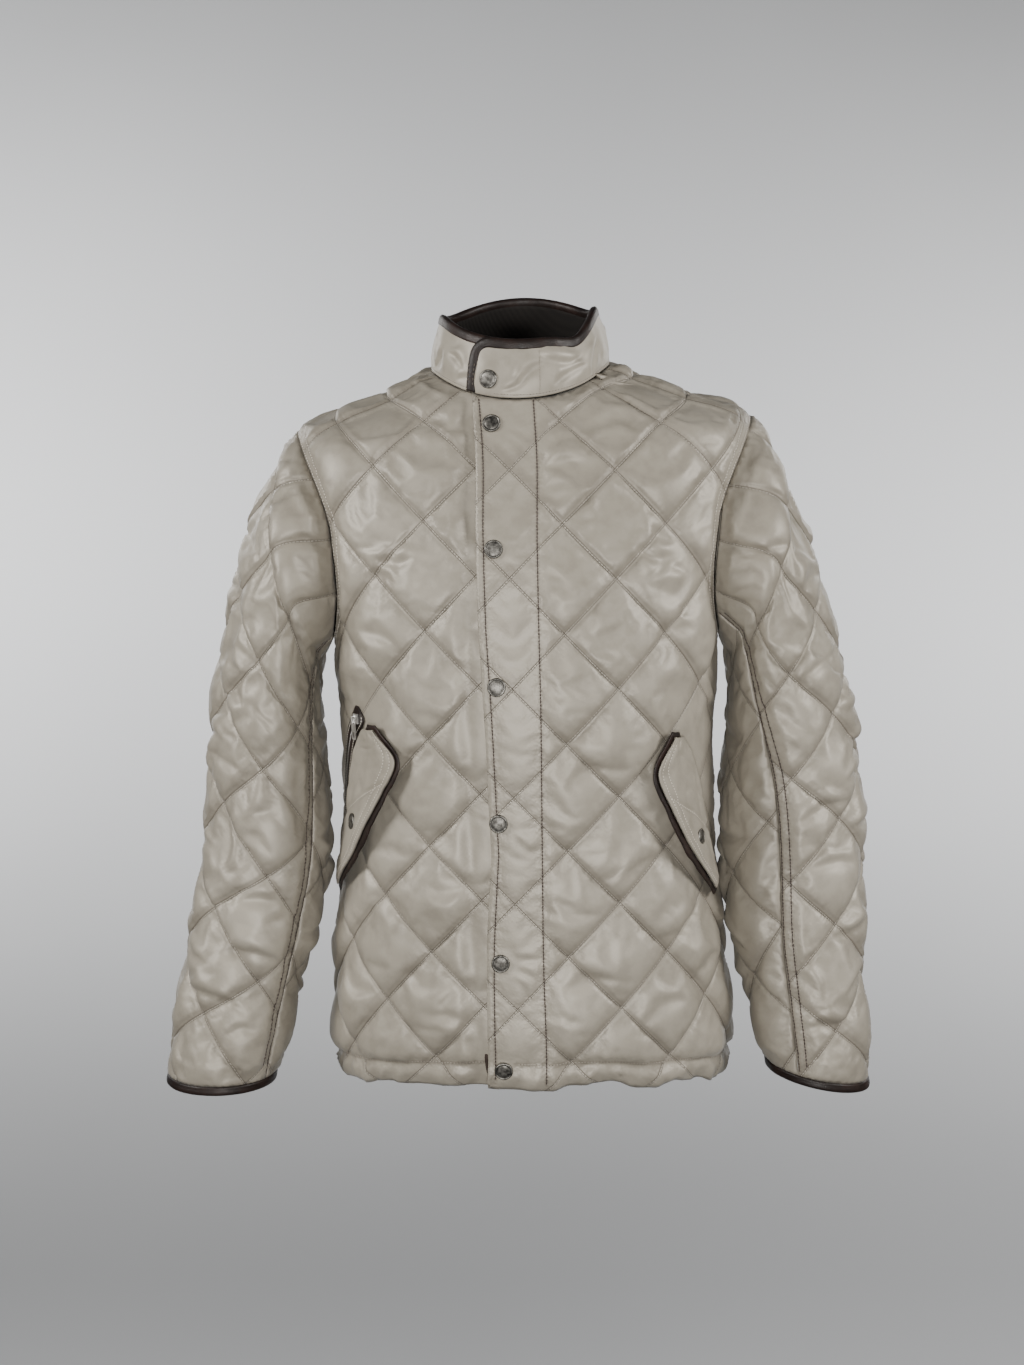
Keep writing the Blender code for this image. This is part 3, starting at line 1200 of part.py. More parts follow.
def build_slider(surface, facing):
    """The slider with its arch, and the pull tab whose top bar lies under the arch."""
    level = level_at(surface, [SLIDER_ANGLE], [SLIDER_Z])[0]
    place, side, up, normal = surface_frame(surface, SLIDER_ANGLE, level)
    width, length, thickness = SLIDER_SIZE
    seat = rest_on(facing, place, side, up, normal, width * 0.45)
    matrix = frame_matrix(seat, side, up, normal)
    top = thickness + ARCH_RISE
    bm = bmesh.new()
    profile = [(-length / 2, 0.0), (length / 2, 0.0), (length / 2, thickness * 0.7),
               (length / 2 - SLIDER_CHAMFER, thickness), (-length / 2 + SLIDER_CHAMFER, thickness),
               (-length / 2, thickness * 0.7)]
    for x in (-width / 2, width / 2):
        bm.faces.new([bm.verts.new((x, y, z)) for y, z in profile])
    bm.verts.ensure_lookup_table()
    count = len(profile)
    for k in range(count):
        n = (k + 1) % count
        bm.faces.new([bm.verts[k], bm.verts[n], bm.verts[count + n], bm.verts[count + k]])
    slider = add_object("zip_slider", bm, "bright_nickel")
    arch = box_mesh((-ARCH_WIDTH / 2, -ARCH_SPAN / 2, thickness - 0.6 * MM),
                    (ARCH_WIDTH / 2, ARCH_SPAN / 2, top))
    mesh = bpy.data.meshes.new("arch")
    arch.to_mesh(mesh)
    arch.free()
    arch_object = bpy.data.objects.new("arch", mesh)
    arch_object.hide_render = True
    arch_object.display_type = "WIRE"
    bpy.context.scene.collection.objects.link(arch_object)
    join = slider.modifiers.new("arch", "BOOLEAN")
    join.operation = "UNION"
    join.solver = "EXACT"
    join.object = arch_object
    opening = box_mesh((-ARCH_WIDTH, -ARCH_SPAN / 2 + ARCH_BAR, thickness + ARCH_CLEARANCE),
                       (ARCH_WIDTH, ARCH_SPAN / 2 - ARCH_BAR, top - ARCH_BAR))
    cut_with(slider, opening, "arch_opening")
    for item in (slider, arch_object, bpy.data.objects["arch_opening"]):
        item.matrix_world = matrix

    hinge_height = thickness + ARCH_CLEARANCE + (ARCH_RISE - ARCH_BAR - ARCH_CLEARANCE) / 2
    hinge = Vector(seat + normal * hinge_height)
    pivot = bpy.data.objects.new("pull_pivot", None)
    bpy.context.scene.collection.objects.link(pivot)
    pivot.matrix_world = frame_matrix(np.array(hinge), side, up, normal)
    half = TAB_THICKNESS / 2
    bm = box_mesh((-TAB_WIDTH / 2, -TAB_LENGTH, -half), (TAB_WIDTH / 2, TAB_BAR, half))
    edges = [edge for edge in bm.edges if abs(edge.verts[0].co.z - edge.verts[1].co.z) > half]
    bmesh.ops.bevel(bm, geom=edges, offset=TAB_CORNER, segments=2, profile=0.5, affect="EDGES")
    tab = add_object("zip_pull_tab", bm, "bright_nickel")
    tab.parent = pivot
    eye_width, eye_length = TAB_EYE
    slot_width, slot_length = TAB_SLOT
    bpy.context.view_layer.update()
    slot_foot = TAB_SLOT_END - TAB_LENGTH
    cut_with(tab, box_mesh((-eye_width / 2, -TAB_BAR - eye_length, -2 * half),
                           (eye_width / 2, -TAB_BAR, 2 * half)), "tab_eye")
    cut_with(tab, box_mesh((-slot_width / 2, slot_foot, -2 * half),
                           (slot_width / 2, slot_foot + slot_length, 2 * half)), "tab_slot")
    return hinge, side


def zip_tape_grid(surface, lift):
    points, normals = [], []
    for v in np.linspace(*ZIP_TAPE_V, 5):
        u, w = surface.find(np.array(ZIP_TAPE_X), np.array([v, v]))
        points.append(surface.place(u, w, np.full(2, lift)))
        normals.append(surface.read(surface.normal, u, w))
    return np.array(points), np.array(normals)


def build_front_zip_tape(surface, panel):
    """The end of the front zip's tape, on the under-front beside the placket's lower corner."""
    points, normals = zip_tape_grid(surface, WALL)
    least = least_height(panel, points.reshape(-1, 3), normals.reshape(-1, 3))
    points, normals = zip_tape_grid(surface, WALL + SEAT_GAP - least)
    return band_mesh("front_zip_tape", points + normals * ZIP_TAPE_WALL, points, "zip_tape")


def build_jacket():
    clear_scene()
    front = body_surface(-125.0, 125.0, 0.0)
    back = body_surface(55.0, 305.0, 180.0)
    sleeves = {1: ("sleeve_left", LEFT_SLEEVE_RINGS, LEFT_SLEEVE_SEAMS),
               -1: ("sleeve_right", RIGHT_SLEEVE_RINGS, RIGHT_SLEEVE_SEAMS)}
    armholes = {}
    for side, (name, rings, seams) in sleeves.items():
        armhole = Armhole(front, back, side)
        loop = sleeve_surface(armhole, rings, -20.0, 380.0, 0.0)
        near_seam = np.full(361, 0.02)
        armhole.sleeve_normals = loop.read(loop.normal, armhole.turn, near_seam)
        armholes[side] = armhole

    left = build_front("front_left", front, armholes[1], 1)
    right = build_front("front_right", front, armholes[-1], -1)
    build_back(back, armholes)
    for side, (name, rings, seams) in sleeves.items():
        build_sleeve(name, armholes[side], rings, seams)
        build_cuff_binding(f"cuff_binding_{name.split('_')[1]}", armholes[side], rings)

    collar = collar_surface()
    build_collar(collar)
    build_front_zip_tape(front, right)

    for k, level in enumerate(SNAP_LEVELS):
        u, w = front.find(np.array([SNAP_X]), np.array([level]))
        place, side, up, normal = surface_frame(front, u[0], w[0])
        build_snap(f"snap_{k + 2}", left, place, side, up, normal, SNAP_RADIUS)
    place, side, up, normal = surface_frame(collar, COLLAR_SNAP_ANGLE, COLLAR_SNAP_HEIGHT)
    build_snap("snap_1", bpy.data.objects["collar"], place, side, up, normal, SNAP_RADIUS)

    facing = build_facing(front, right)
    build_slider(front, facing)

    flap_base = WALL + FLAP_LEATHER_WALL
    for name, panel, rows in (("left", left, LEFT_FLAP), ("right", right, RIGHT_FLAP)):
        flap, under, normals = build_flap(name, front, panel, flap_base, rows)
        place = (under[5, 1] + under[5, 2]) / 2
        normal = unit((normals[5, 1] + normals[5, 2])[None])[0]
        up = under[4, 1] - under[6, 1]
        up = unit((up - normal * (up @ normal))[None])[0]
        build_snap(f"flap_snap_{name}", flap, place, np.cross(up, normal), up, normal,
                   SNAP_RADIUS * FLAP_SNAP_SCALE)


build_jacket()
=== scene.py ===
import math

import bmesh
import bpy
import numpy as np
from mathutils import Matrix, Vector, kdtree
from mathutils.bvhtree import BVHTree


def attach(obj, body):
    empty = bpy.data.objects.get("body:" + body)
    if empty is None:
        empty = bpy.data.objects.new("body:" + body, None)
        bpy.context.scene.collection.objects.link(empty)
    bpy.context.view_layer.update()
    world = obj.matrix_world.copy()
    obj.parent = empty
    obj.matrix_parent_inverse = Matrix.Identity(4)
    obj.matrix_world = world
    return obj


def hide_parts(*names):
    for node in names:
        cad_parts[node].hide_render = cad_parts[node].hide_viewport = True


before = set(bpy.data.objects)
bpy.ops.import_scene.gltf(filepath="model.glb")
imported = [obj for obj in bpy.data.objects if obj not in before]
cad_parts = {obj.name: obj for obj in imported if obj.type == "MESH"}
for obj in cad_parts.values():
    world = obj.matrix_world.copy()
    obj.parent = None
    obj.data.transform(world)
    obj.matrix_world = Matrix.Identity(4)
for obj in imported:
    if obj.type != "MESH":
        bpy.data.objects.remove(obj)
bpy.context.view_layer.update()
mm = 0.001


# small helpers

def smooth(low, high, value):
    t = np.clip((value - low) / (high - low), 0.0, 1.0)
    return t * t * (3.0 - 2.0 * t)


def unit(vectors):
    return vectors / np.maximum(np.linalg.norm(vectors, axis=-1, keepdims=True), 1e-12)


def hermite(t, span, low, lowSlope, high, highSlope):
    return ((2 * t**3 - 3 * t**2 + 1) * low + (t**3 - 2 * t**2 + t) * span * lowSlope
            + (3 * t**2 - 2 * t**3) * high + (t**3 - t**2) * span * highSlope)


def bilinear(field, i, j, a, b):
    return ((1 - a) * (1 - b) * field[i, j] + a * (1 - b) * field[i + 1, j]
            + (1 - a) * b * field[i, j + 1] + a * b * field[i + 1, j + 1])


def runOf(x, v):
    return np.concatenate([[0.0], np.cumsum(np.hypot(np.diff(x), np.diff(v)))])


def lengthsAlong(points):
    return np.concatenate([[0.0], np.cumsum(np.linalg.norm(np.diff(points, axis=0), axis=1))])


def treeOf(places):
    tree = kdtree.KDTree(len(places))
    for k, (x, v) in enumerate(places):
        tree.insert((x, v, 0.0), k)
    tree.balance()
    return tree


def nearest(tree, x, v):
    # which of the tree's places is nearest to each place, and how far it is
    found = [tree.find((a, b, 0.0)) for a, b in zip(x, v)]
    return np.array([hit[1] for hit in found], dtype=int), np.array([hit[2] for hit in found])


def throughRows(rows, keys):
    # smooth columns through the rows of a table, keyed by its first column
    table = np.array(rows, dtype=float)
    keys = np.atleast_1d(keys)
    knots, values = table[:, 0], table[:, 1:]
    slopes = np.gradient(values, knots, axis=0)
    i = np.clip(np.searchsorted(knots, keys) - 1, 0, len(knots) - 2)
    span = (knots[i + 1] - knots[i])[:, None]
    t = (keys[:, None] - knots[i][:, None]) / span
    return hermite(t, span, values[i], slopes[i], values[i + 1], slopes[i + 1])


def scatter(i, j, seed):
    # a fixed number from 0 to 1 for each pair of whole numbers
    return np.mod(np.sin(i * 127.1 + j * 311.7 + seed * 74.7) * 43758.5453, 1.0)


def noise(x, y, seed):
    i, j = np.floor(x), np.floor(y)
    a, b = x - i, y - j
    a, b = a * a * (3 - 2 * a), b * b * (3 - 2 * b)
    low = scatter(i, j, seed) * (1 - a) + scatter(i + 1, j, seed) * a
    high = scatter(i, j + 1, seed) * (1 - a) + scatter(i + 1, j + 1, seed) * a
    return (low * (1 - b) + high * b) * 2 - 1


# the jacket's base surfaces, the same as its solids have

bodyTable = (  # v, halfWidth, midX, sideY, sideZ, frontY, frontZ, backY, backZ, square
    (0.000, 0.1965, 0.010, 0.000, -0.726, -0.148, -0.704, 0.148, -0.737, 2.4),
    (0.030, 0.2020, 0.010, 0.000, -0.698, -0.153, -0.678, 0.153, -0.708, 2.4),
    (0.130, 0.1985, 0.007, 0.000, -0.600, -0.154, -0.585, 0.153, -0.605, 2.4),
    (0.280, 0.1885, 0.005, 0.000, -0.450, -0.153, -0.445, 0.143, -0.452, 2.4),
    (0.430, 0.1920, 0.003, 0.002, -0.303, -0.155, -0.303, 0.148, -0.302, 2.4),
    (0.468, 0.1960, 0.002, 0.004, -0.266, -0.152, -0.265, 0.150, -0.262, 2.4),
    (0.590, 0.2205, 0.000, 0.008, -0.148, -0.133, -0.160, 0.140, -0.135, 2.4),
    (0.690, 0.2292, 0.000, 0.010, -0.0525, -0.110, -0.088, 0.122, -0.062, 2.4),
    (0.770, 0.1550, -0.002, 0.010, -0.0255, -0.094, -0.052, 0.104, -0.014, 2.3),
    (0.850, 0.0873, -0.004, 0.006, 0.0030, -0.082, -0.026, 0.088, 0.018, 2.1),
)
leftSleeveTable = (  # s, outerX, outerZ, innerX, innerZ, midY, halfDepth
    (0.06, 0.257, -0.093, 0.212, -0.280, 0.002, 0.095),
    (0.14, 0.281, -0.152, 0.2155, -0.300, 0.000, 0.091),
    (0.23, 0.301, -0.213, 0.2165, -0.326, -0.002, 0.087),
    (0.32, 0.319, -0.280, 0.2150, -0.360, -0.004, 0.082),
    (0.42, 0.334, -0.345, 0.2120, -0.400, -0.006, 0.078),
    (0.53, 0.344, -0.420, 0.2095, -0.447, -0.010, 0.074),
    (0.64, 0.348, -0.495, 0.2120, -0.502, -0.016, 0.070),
    (0.75, 0.347, -0.562, 0.2215, -0.565, -0.026, 0.064),
    (0.87, 0.350, -0.640, 0.2400, -0.636, -0.039, 0.058),
    (0.95, 0.354, -0.697, 0.2520, -0.686, -0.047, 0.054),
    (1.00, 0.357, -0.728, 0.2560, -0.708, -0.051, 0.052),
)
rightSleeveTable = (
    (0.06, 0.253, -0.100, 0.211, -0.288, 0.002, 0.097),
    (0.14, 0.272, -0.145, 0.2140, -0.308, 0.000, 0.095),
    (0.23, 0.289, -0.198, 0.2150, -0.334, -0.002, 0.092),
    (0.32, 0.302, -0.262, 0.2130, -0.366, -0.004, 0.087),
    (0.42, 0.314, -0.328, 0.2090, -0.405, -0.007, 0.083),
    (0.53, 0.320, -0.402, 0.2060, -0.447, -0.011, 0.078),
    (0.64, 0.327, -0.480, 0.2085, -0.500, -0.017, 0.073),
    (0.75, 0.341, -0.560, 0.2230, -0.565, -0.027, 0.066),
    (0.87, 0.353, -0.643, 0.2440, -0.642, -0.040, 0.059),
    (0.95, 0.364, -0.700, 0.2575, -0.698, -0.048, 0.055),
    (1.00, 0.368, -0.724, 0.2620, -0.722, -0.052, 0.053),
)
leftSeamTable = ((0.00, 140.0, -120.0), (0.25, 128.0, -118.0), (0.50, 108.0, -115.0), (1.00, 118.0, -110.0))
rightSeamTable = ((0.00, 160.0, -110.0), (0.25, 152.0, -104.0), (0.50, 142.0, -98.0), (1.00, 150.0, -92.0))
placketEdgeTable = ((-0.72, -0.0455), (-0.65, -0.0455), (-0.56, -0.0430), (-0.47, -0.0375),
                    (-0.36, -0.0415), (-0.25, -0.0460), (-0.15, -0.0475), (0.05, -0.0480))

shape = {"neckV": 0.850, "shoulderV": 0.690, "underarmV": 0.468, "lean": 0.033, "seamGap": 0.3 * mm,
         "wall": 2.4 * mm, "casing": 25 * mm, "placketLift": 3.9 * mm, "placketSeam": 12 * mm,
         "frontCut": 88 * mm, "backCut": 74 * mm, "armholeRound": 2.3, "underarmRoom": 5 * mm,
         "mitreReach": 0.009, "snapLevels": (-0.044, -0.170, -0.303, -0.438, -0.579, -0.687)}
quilt = {"halfWidth": 51.5 * mm, "halfHeight": 53.6 * mm, "loft": 9.2 * mm, "steps": 22, "seamFade": 20 * mm}
cellSide = math.hypot(quilt["halfWidth"], quilt["halfHeight"])


def bodyAt(angles, levels):
    halfWidth, midX, sideY, sideZ, frontY, frontZ, backY, backZ, square = throughRows(bodyTable, levels).T
    turn = np.radians(angles)
    front = np.cos(turn) >= 0
    depth = np.where(front, sideY - frontY, backY - sideY)
    endZ = np.where(front, frontZ, backZ)
    reach = ((np.abs(np.cos(turn)) / depth) ** square
             + (np.abs(np.sin(turn)) / halfWidth) ** square) ** (-1.0 / square)
    forward = reach * np.cos(turn)
    x = midX + reach * np.sin(turn)
    z = sideZ + (endZ - sideZ) * (forward / depth) ** 2
    z = z + shape["lean"] * x * smooth(-0.45, -0.10, z)
    return np.stack([x, sideY - forward, z], axis=-1)


class ClothMap:
    # a surface over (u, w) with the cloth's own coordinates: x round it and v up it
    def __init__(self, at, u, w, zeroU, zeroW, zeroV, sign=1.0, down=False):
        self.at, self.u, self.w, self.sign = at, u, w, sign
        gridU, gridW = np.meshgrid(u, w, indexing="ij")
        grid = at(gridU.ravel(), gridW.ravel()).reshape(len(u), len(w), 3)
        round_ = np.linalg.norm(np.diff(grid, axis=0), axis=2)
        x = np.vstack([np.zeros((1, len(w))), np.cumsum(round_, axis=0)])
        run = np.linalg.norm(np.diff(grid, axis=1), axis=2)
        v = np.hstack([np.zeros((len(u), 1)), np.cumsum(run, axis=1)])
        zeroX = np.array([np.interp(zeroU, u, x[:, j]) for j in range(len(w))])
        zeroRow = np.array([np.interp(zeroW, w, v[i]) for i in range(len(u))])
        self.x = (1.0 if down == (sign < 0) else -1.0) * (x - zeroX[None, :])
        self.v = zeroV + (-1.0 if down else 1.0) * (v - zeroRow[:, None])
        self.slopes = [np.gradient(self.x, u, axis=0), np.gradient(self.x, w, axis=1),
                       np.gradient(self.v, u, axis=0), np.gradient(self.v, w, axis=1)]
        self.tree = treeOf(list(zip(self.x[::3, ::3].ravel(), self.v[::3, ::3].ravel())))
        self.starts = np.array([(a, b) for a in u[::3] for b in w[::3]])

    def read(self, field, u, w):
        i = np.clip((u - self.u[0]) / (self.u[1] - self.u[0]), 0, len(self.u) - 1.0001)
        j = np.clip((w - self.w[0]) / (self.w[1] - self.w[0]), 0, len(self.w) - 1.0001)
        i0, j0 = i.astype(int), j.astype(int)
        a, b = i - i0, j - j0
        return bilinear(field, i0, j0, a, b)

    def cloth(self, u, w):
        return self.read(self.x, u, w), self.read(self.v, u, w)

    def find(self, x, v):
        starts = self.starts[nearest(self.tree, x, v)[0]]
        u, w = starts[:, 0].copy(), starts[:, 1].copy()
        for _ in range(14):
            missX = x - self.read(self.x, u, w)
            missV = v - self.read(self.v, u, w)
            xu, xw, vu, vw = [self.read(field, u, w) for field in self.slopes]
            scale = xu * vw - xw * vu
            scale = np.where(np.abs(scale) < 1e-12, 1e-12, scale)
            u = np.clip(u + 0.8 * (missX * vw - missV * xw) / scale, self.u[0], self.u[-1])
            w = np.clip(w + 0.8 * (missV * xu - missX * vu) / scale, self.w[0], self.w[-1])
        return u, w

    def normals(self, u, w):
        across = self.at(u + 0.4, w) - self.at(u - 0.4, w)
        along = self.at(u, w + 0.0015) - self.at(u, w - 0.0015)
        return unit(np.cross(across, along)) * self.sign

    def angleAtX(self, x, w):
        found = []
        for value, level in zip(x, w):
            ring = self.read(self.x, self.u, np.full(len(self.u), level))
            order = np.argsort(ring)
            found.append(np.interp(value, ring[order], self.u[order]))
        return np.array(found)


mapStart = {"bodyLevel": 0.280, "bodyV": -0.447, "sleeveLevel": 0.53, "sleeveV": -0.434}


def bodyMap(first, last, zero):
    return ClothMap(bodyAt, np.linspace(first, last, int((last - first) * 0.8) + 1),
                    np.linspace(0.0, shape["neckV"], 171), zero, mapStart["bodyLevel"], mapStart["bodyV"])


class Armhole:
    # the loop where a sleeve meets the body: shoulder point, front, underarm, back
    def __init__(self, front, back, side):
        self.side = side
        self.turn = np.linspace(0.0, 360.0, 361)
        halves = []
        power = shape["armholeRound"]
        for cloth, cut, isFront in ((front, shape["frontCut"], True), (back, shape["backCut"], False)):
            swing = np.linspace(0.0, math.pi, 400)
            levels = shape["shoulderV"] + (shape["underarmV"] - shape["shoulderV"]) * (1 - np.cos(swing)) / 2
            inset = cut * (1 - np.abs(np.cos(swing)) ** power) ** (1 / power)
            seam = 90.0 * side if isFront else 180.0 - 90.0 * side
            away = side if isFront else -side
            seamX = cloth.read(cloth.x, np.full(400, seam), levels)
            angles = cloth.angleAtX(seamX - away * inset, levels)
            points = cloth.at(angles, levels)
            length = lengthsAlong(points)
            share = np.linspace(0.0, length[-1], 181)
            halves.append([np.interp(share, length, angles), np.interp(share, length, levels)])
        self.frontAngles, self.frontLevels = halves[0]
        self.backAngles, self.backLevels = halves[1]
        self.points = np.vstack([front.at(self.frontAngles, self.frontLevels),
                                 back.at(self.backAngles, self.backLevels)[::-1][1:]])
        self.bodyNormals = np.vstack([front.normals(self.frontAngles, self.frontLevels),
                                      back.normals(self.backAngles, self.backLevels)[::-1][1:]])
        self.tight = np.exp(-(((self.turn - 180.0) / 38.0) ** 2))
        self.sleeveNormals = None

    def read(self, field, turn):
        turn = np.mod(turn, 360.0)
        return np.stack([np.interp(turn, self.turn, field[:, k]) for k in range(3)], axis=-1)

    def borderNormals(self, turn, forBody):
        body, sleeve = self.read(self.bodyNormals, turn), self.read(self.sleeveNormals, turn)
        share = 1.0 - np.interp(np.mod(turn, 360.0), self.turn, self.tight)[:, None]
        return unit(body + share * sleeve) if forBody else unit(sleeve + share * body)


def sleeveSurface(armhole, rings):
    knots = np.array([0.0] + [row[0] for row in rings])

    def at(turn, lengths):
        turn, lengths = np.asarray(turn, dtype=float), np.asarray(lengths, dtype=float)
        away = np.interp(np.mod(turn, 360.0), armhole.turn, armhole.tight)
        start = armhole.read(armhole.points, turn)
        room = shape["seamGap"] + shape["underarmRoom"] * away
        start = start + np.array([armhole.side, 0, 0]) * room[:, None]
        swing = np.radians(turn)[:, None]
        stations = [start]
        for s, outerX, outerZ, innerX, innerZ, midY, halfDepth in rings:
            outer = np.array([armhole.side * outerX, midY, outerZ])
            inner = np.array([armhole.side * innerX, midY, innerZ])
            centre = (outer + inner) / 2
            stations.append(centre + (outer - centre) * np.cos(swing)
                            + np.array([0.0, -halfDepth, 0.0]) * np.sin(swing))
        values = np.array(stations)
        slopes = np.gradient(values, knots, axis=0)
        i = np.clip(np.searchsorted(knots, lengths) - 1, 0, len(knots) - 2)
        n = np.arange(len(turn))
        span = (knots[i + 1] - knots[i])[:, None]
        t = (lengths[:, None] - knots[i][:, None]) / span
        return hermite(t, span, values[i, n], slopes[i, n], values[i + 1, n], slopes[i + 1, n])

    return at


def sleeveMap(armhole, rings, first, last, zero):
    return ClothMap(sleeveSurface(armhole, rings), np.linspace(first, last, int((last - first) / 2) + 1),
                    np.linspace(0.0, 1.0, 161), zero, mapStart["sleeveLevel"], mapStart["sleeveV"],
                    sign=-1.0 if armhole.side < 0 else 1.0, down=True)


frontMap = bodyMap(-125.0, 125.0, 0.0)
backMap = bodyMap(55.0, 305.0, 180.0)
armholes = {}
for side, rings in ((1, leftSleeveTable), (-1, rightSleeveTable)):
    armholes[side] = Armhole(frontMap, backMap, side)
    loop = sleeveMap(armholes[side], rings, -20.0, 380.0, 0.0)
    armholes[side].sleeveNormals = loop.normals(armholes[side].turn, np.full(361, 0.02))
print("base surfaces ready")


# cloth panels

class Panel:
    # a quilted panel's outer face, as a height over its base surface
    def __init__(self, name, cloth, crossing, relief, lift=None):
        self.name, self.cloth, self.crossing, self.relief = name, cloth, crossing, relief
        self.lift = lift if lift else (lambda x, v: np.zeros(len(x)))
        self.u, self.w, self.normals, self.rows, self.rowTree = [], [], [], [], None

    def edge(self, u, w, normals=None):
        u, w = np.atleast_1d(u), np.broadcast_to(w, np.shape(np.atleast_1d(u)))
        self.u.append(u)
        self.w.append(w)
        self.normals.append(np.zeros((len(u), 3)) if normals is None else normals)

    def close(self):
        # spreads the outline's points evenly, a step apart, and keeps its corners
        step = cellSide / quilt["steps"]
        u, w, normals = [], [], []
        for a, b, n in zip(self.u, self.w, self.normals):
            x, v = self.cloth.cloth(a, b)
            run = runOf(x, v)
            count = max(int(round(run[-1] / step)), 1)
            share = np.linspace(0.0, run[-1], count + 1)[:-1]
            u.append(np.interp(share, run, a))
            w.append(np.interp(share, run, b))
            normals.append(np.stack([np.interp(share, run, n[:, k]) for k in range(3)], axis=-1))
        self.spans = np.concatenate([[0], np.cumsum([len(part) for part in u])])
        self.u, self.w, self.normals = np.concatenate(u), np.concatenate(w), np.vstack(normals)
        self.outline = np.column_stack(self.cloth.cloth(self.u, self.w))
        dense, source = [], []
        after = np.roll(self.outline, -1, axis=0)
        for k in range(len(self.outline)):
            for t in (0.0, 0.33, 0.67):
                dense.append(self.outline[k] * (1 - t) + after[k] * t)
                source.append(k if t < 0.5 else (k + 1) % len(self.outline))
        self.near = treeOf(dense)
        self.source = np.array(source)
        self.mitred = np.where(np.linalg.norm(self.normals, axis=1) > 0.5)[0]
        self.nearMitred = treeOf(self.outline[self.mitred])
        x, v = self.outline.T
        turned = (np.dot(x, np.roll(v, -1)) - np.dot(v, np.roll(x, -1))) / 2
        self.area, self.turning = abs(turned), math.copysign(1.0, turned)
        self.flat = tuple(float(s) for s in np.ptp(self.outline, axis=0))

    def inside(self, points):
        x, v = points[:, 0], points[:, 1]
        inside = np.zeros(len(points), dtype=bool)
        for (x0, v0), (x1, v1) in zip(self.outline, np.roll(self.outline, -1, axis=0)):
            if v0 == v1:
                continue
            crosses = (v0 > v) != (v1 > v)
            inside ^= crosses & (x < (x1 - x0) * (v - v0) / (v1 - v0) + x0)
        return inside

    def toEdge(self, x, v):
        which, away = nearest(self.near, x, v)
        return away, self.source[which]

    def along(self, edge, inset):
        # a line at an even distance inside one of the panel's edges
        order = np.arange(self.spans[edge], self.spans[edge + 1] + 1) % len(self.outline)
        points = self.outline[order]
        run = np.gradient(points, axis=0)
        inward = unit(np.column_stack([-run[:, 1], run[:, 0]])) * self.turning
        points = points + inward * inset
        away, _ = self.toEdge(points[:, 0], points[:, 1])
        return points[away > inset - 0.4 * mm].T

    def sew(self, x, v):
        self.rows.append((x, v))

    def toRow(self, x, v):
        # distance to the nearest row of stitches sewn on the panel
        if not self.rows:
            return np.full(len(x), 1.0)
        if self.rowTree is None:
            dense = []
            for a, b in self.rows:
                run = runOf(a, b)
                share = np.arange(0.0, run[-1], 0.8 * mm)
                dense += list(zip(np.interp(share, run, a), np.interp(share, run, b)))
            self.rowTree = treeOf(dense)
        return nearest(self.rowTree, x, v)[1]

    def cells(self, x, v):
        across = (x - self.crossing[0]) / (2 * quilt["halfWidth"])
        up = (v - self.crossing[1]) / (2 * quilt["halfHeight"])
        return across + up, across - up

    def place(self, x, v, u=None, w=None):
        # points of the outer face at cloth coordinates
        if u is None:
            u, w = self.cloth.find(x, v)
        away, edgePoint = self.toEdge(x, v)
        normals = self.cloth.normals(u, w)
        which, gap = nearest(self.nearMitred, x, v)
        mitre = self.normals[self.mitred[which]]
        share = np.exp(-((gap / shape["mitreReach"]) ** 2))[:, None]
        normals = unit(normals * (1 - share) + mitre * share)
        run = edgePoint * cellSide / quilt["steps"]
        height = self.relief(self, x, v, away, w)
        gap = self.toRow(x, v)
        pull = np.exp(-((gap / rowPull["reach"]) ** 2)) * smooth(0.0, 2 * mm, away)
        bunched = noise(run / rowPull["pitch"], away / rowPull["depthPitch"], 41)
        bunched = bunched * np.exp(-gap / rowPull["bunchReach"]) * smooth(0.0, 1.6 * mm, gap)
        height = height * (1 - rowPull["flatten"] * pull)
        height = height + wrinkles["rowHeight"] * bunched * smooth(0.0, 3 * mm, away)
        groove = rowPull["groove"] * np.exp(-((gap / rowPull["grooveWidth"]) ** 2)) * smooth(0, 2 * mm, away)
        height = np.maximum(height - groove, 0.1 * mm)
        height = self.lift(x, v) + shape["wall"] + height
        points = self.cloth.at(u, w) + normals * height[:, None]
        if self.cloth in (frontMap, backMap):
            turn = np.radians(u)
            wave = noise(np.sin(turn) * wrinkles["hemWaves"], np.cos(turn) * wrinkles["hemWaves"], 61)
            points[:, 2] += wrinkles["hemWave"] * wave * smooth(wrinkles["hemReach"], 0.0, w)
        return points, away, normals

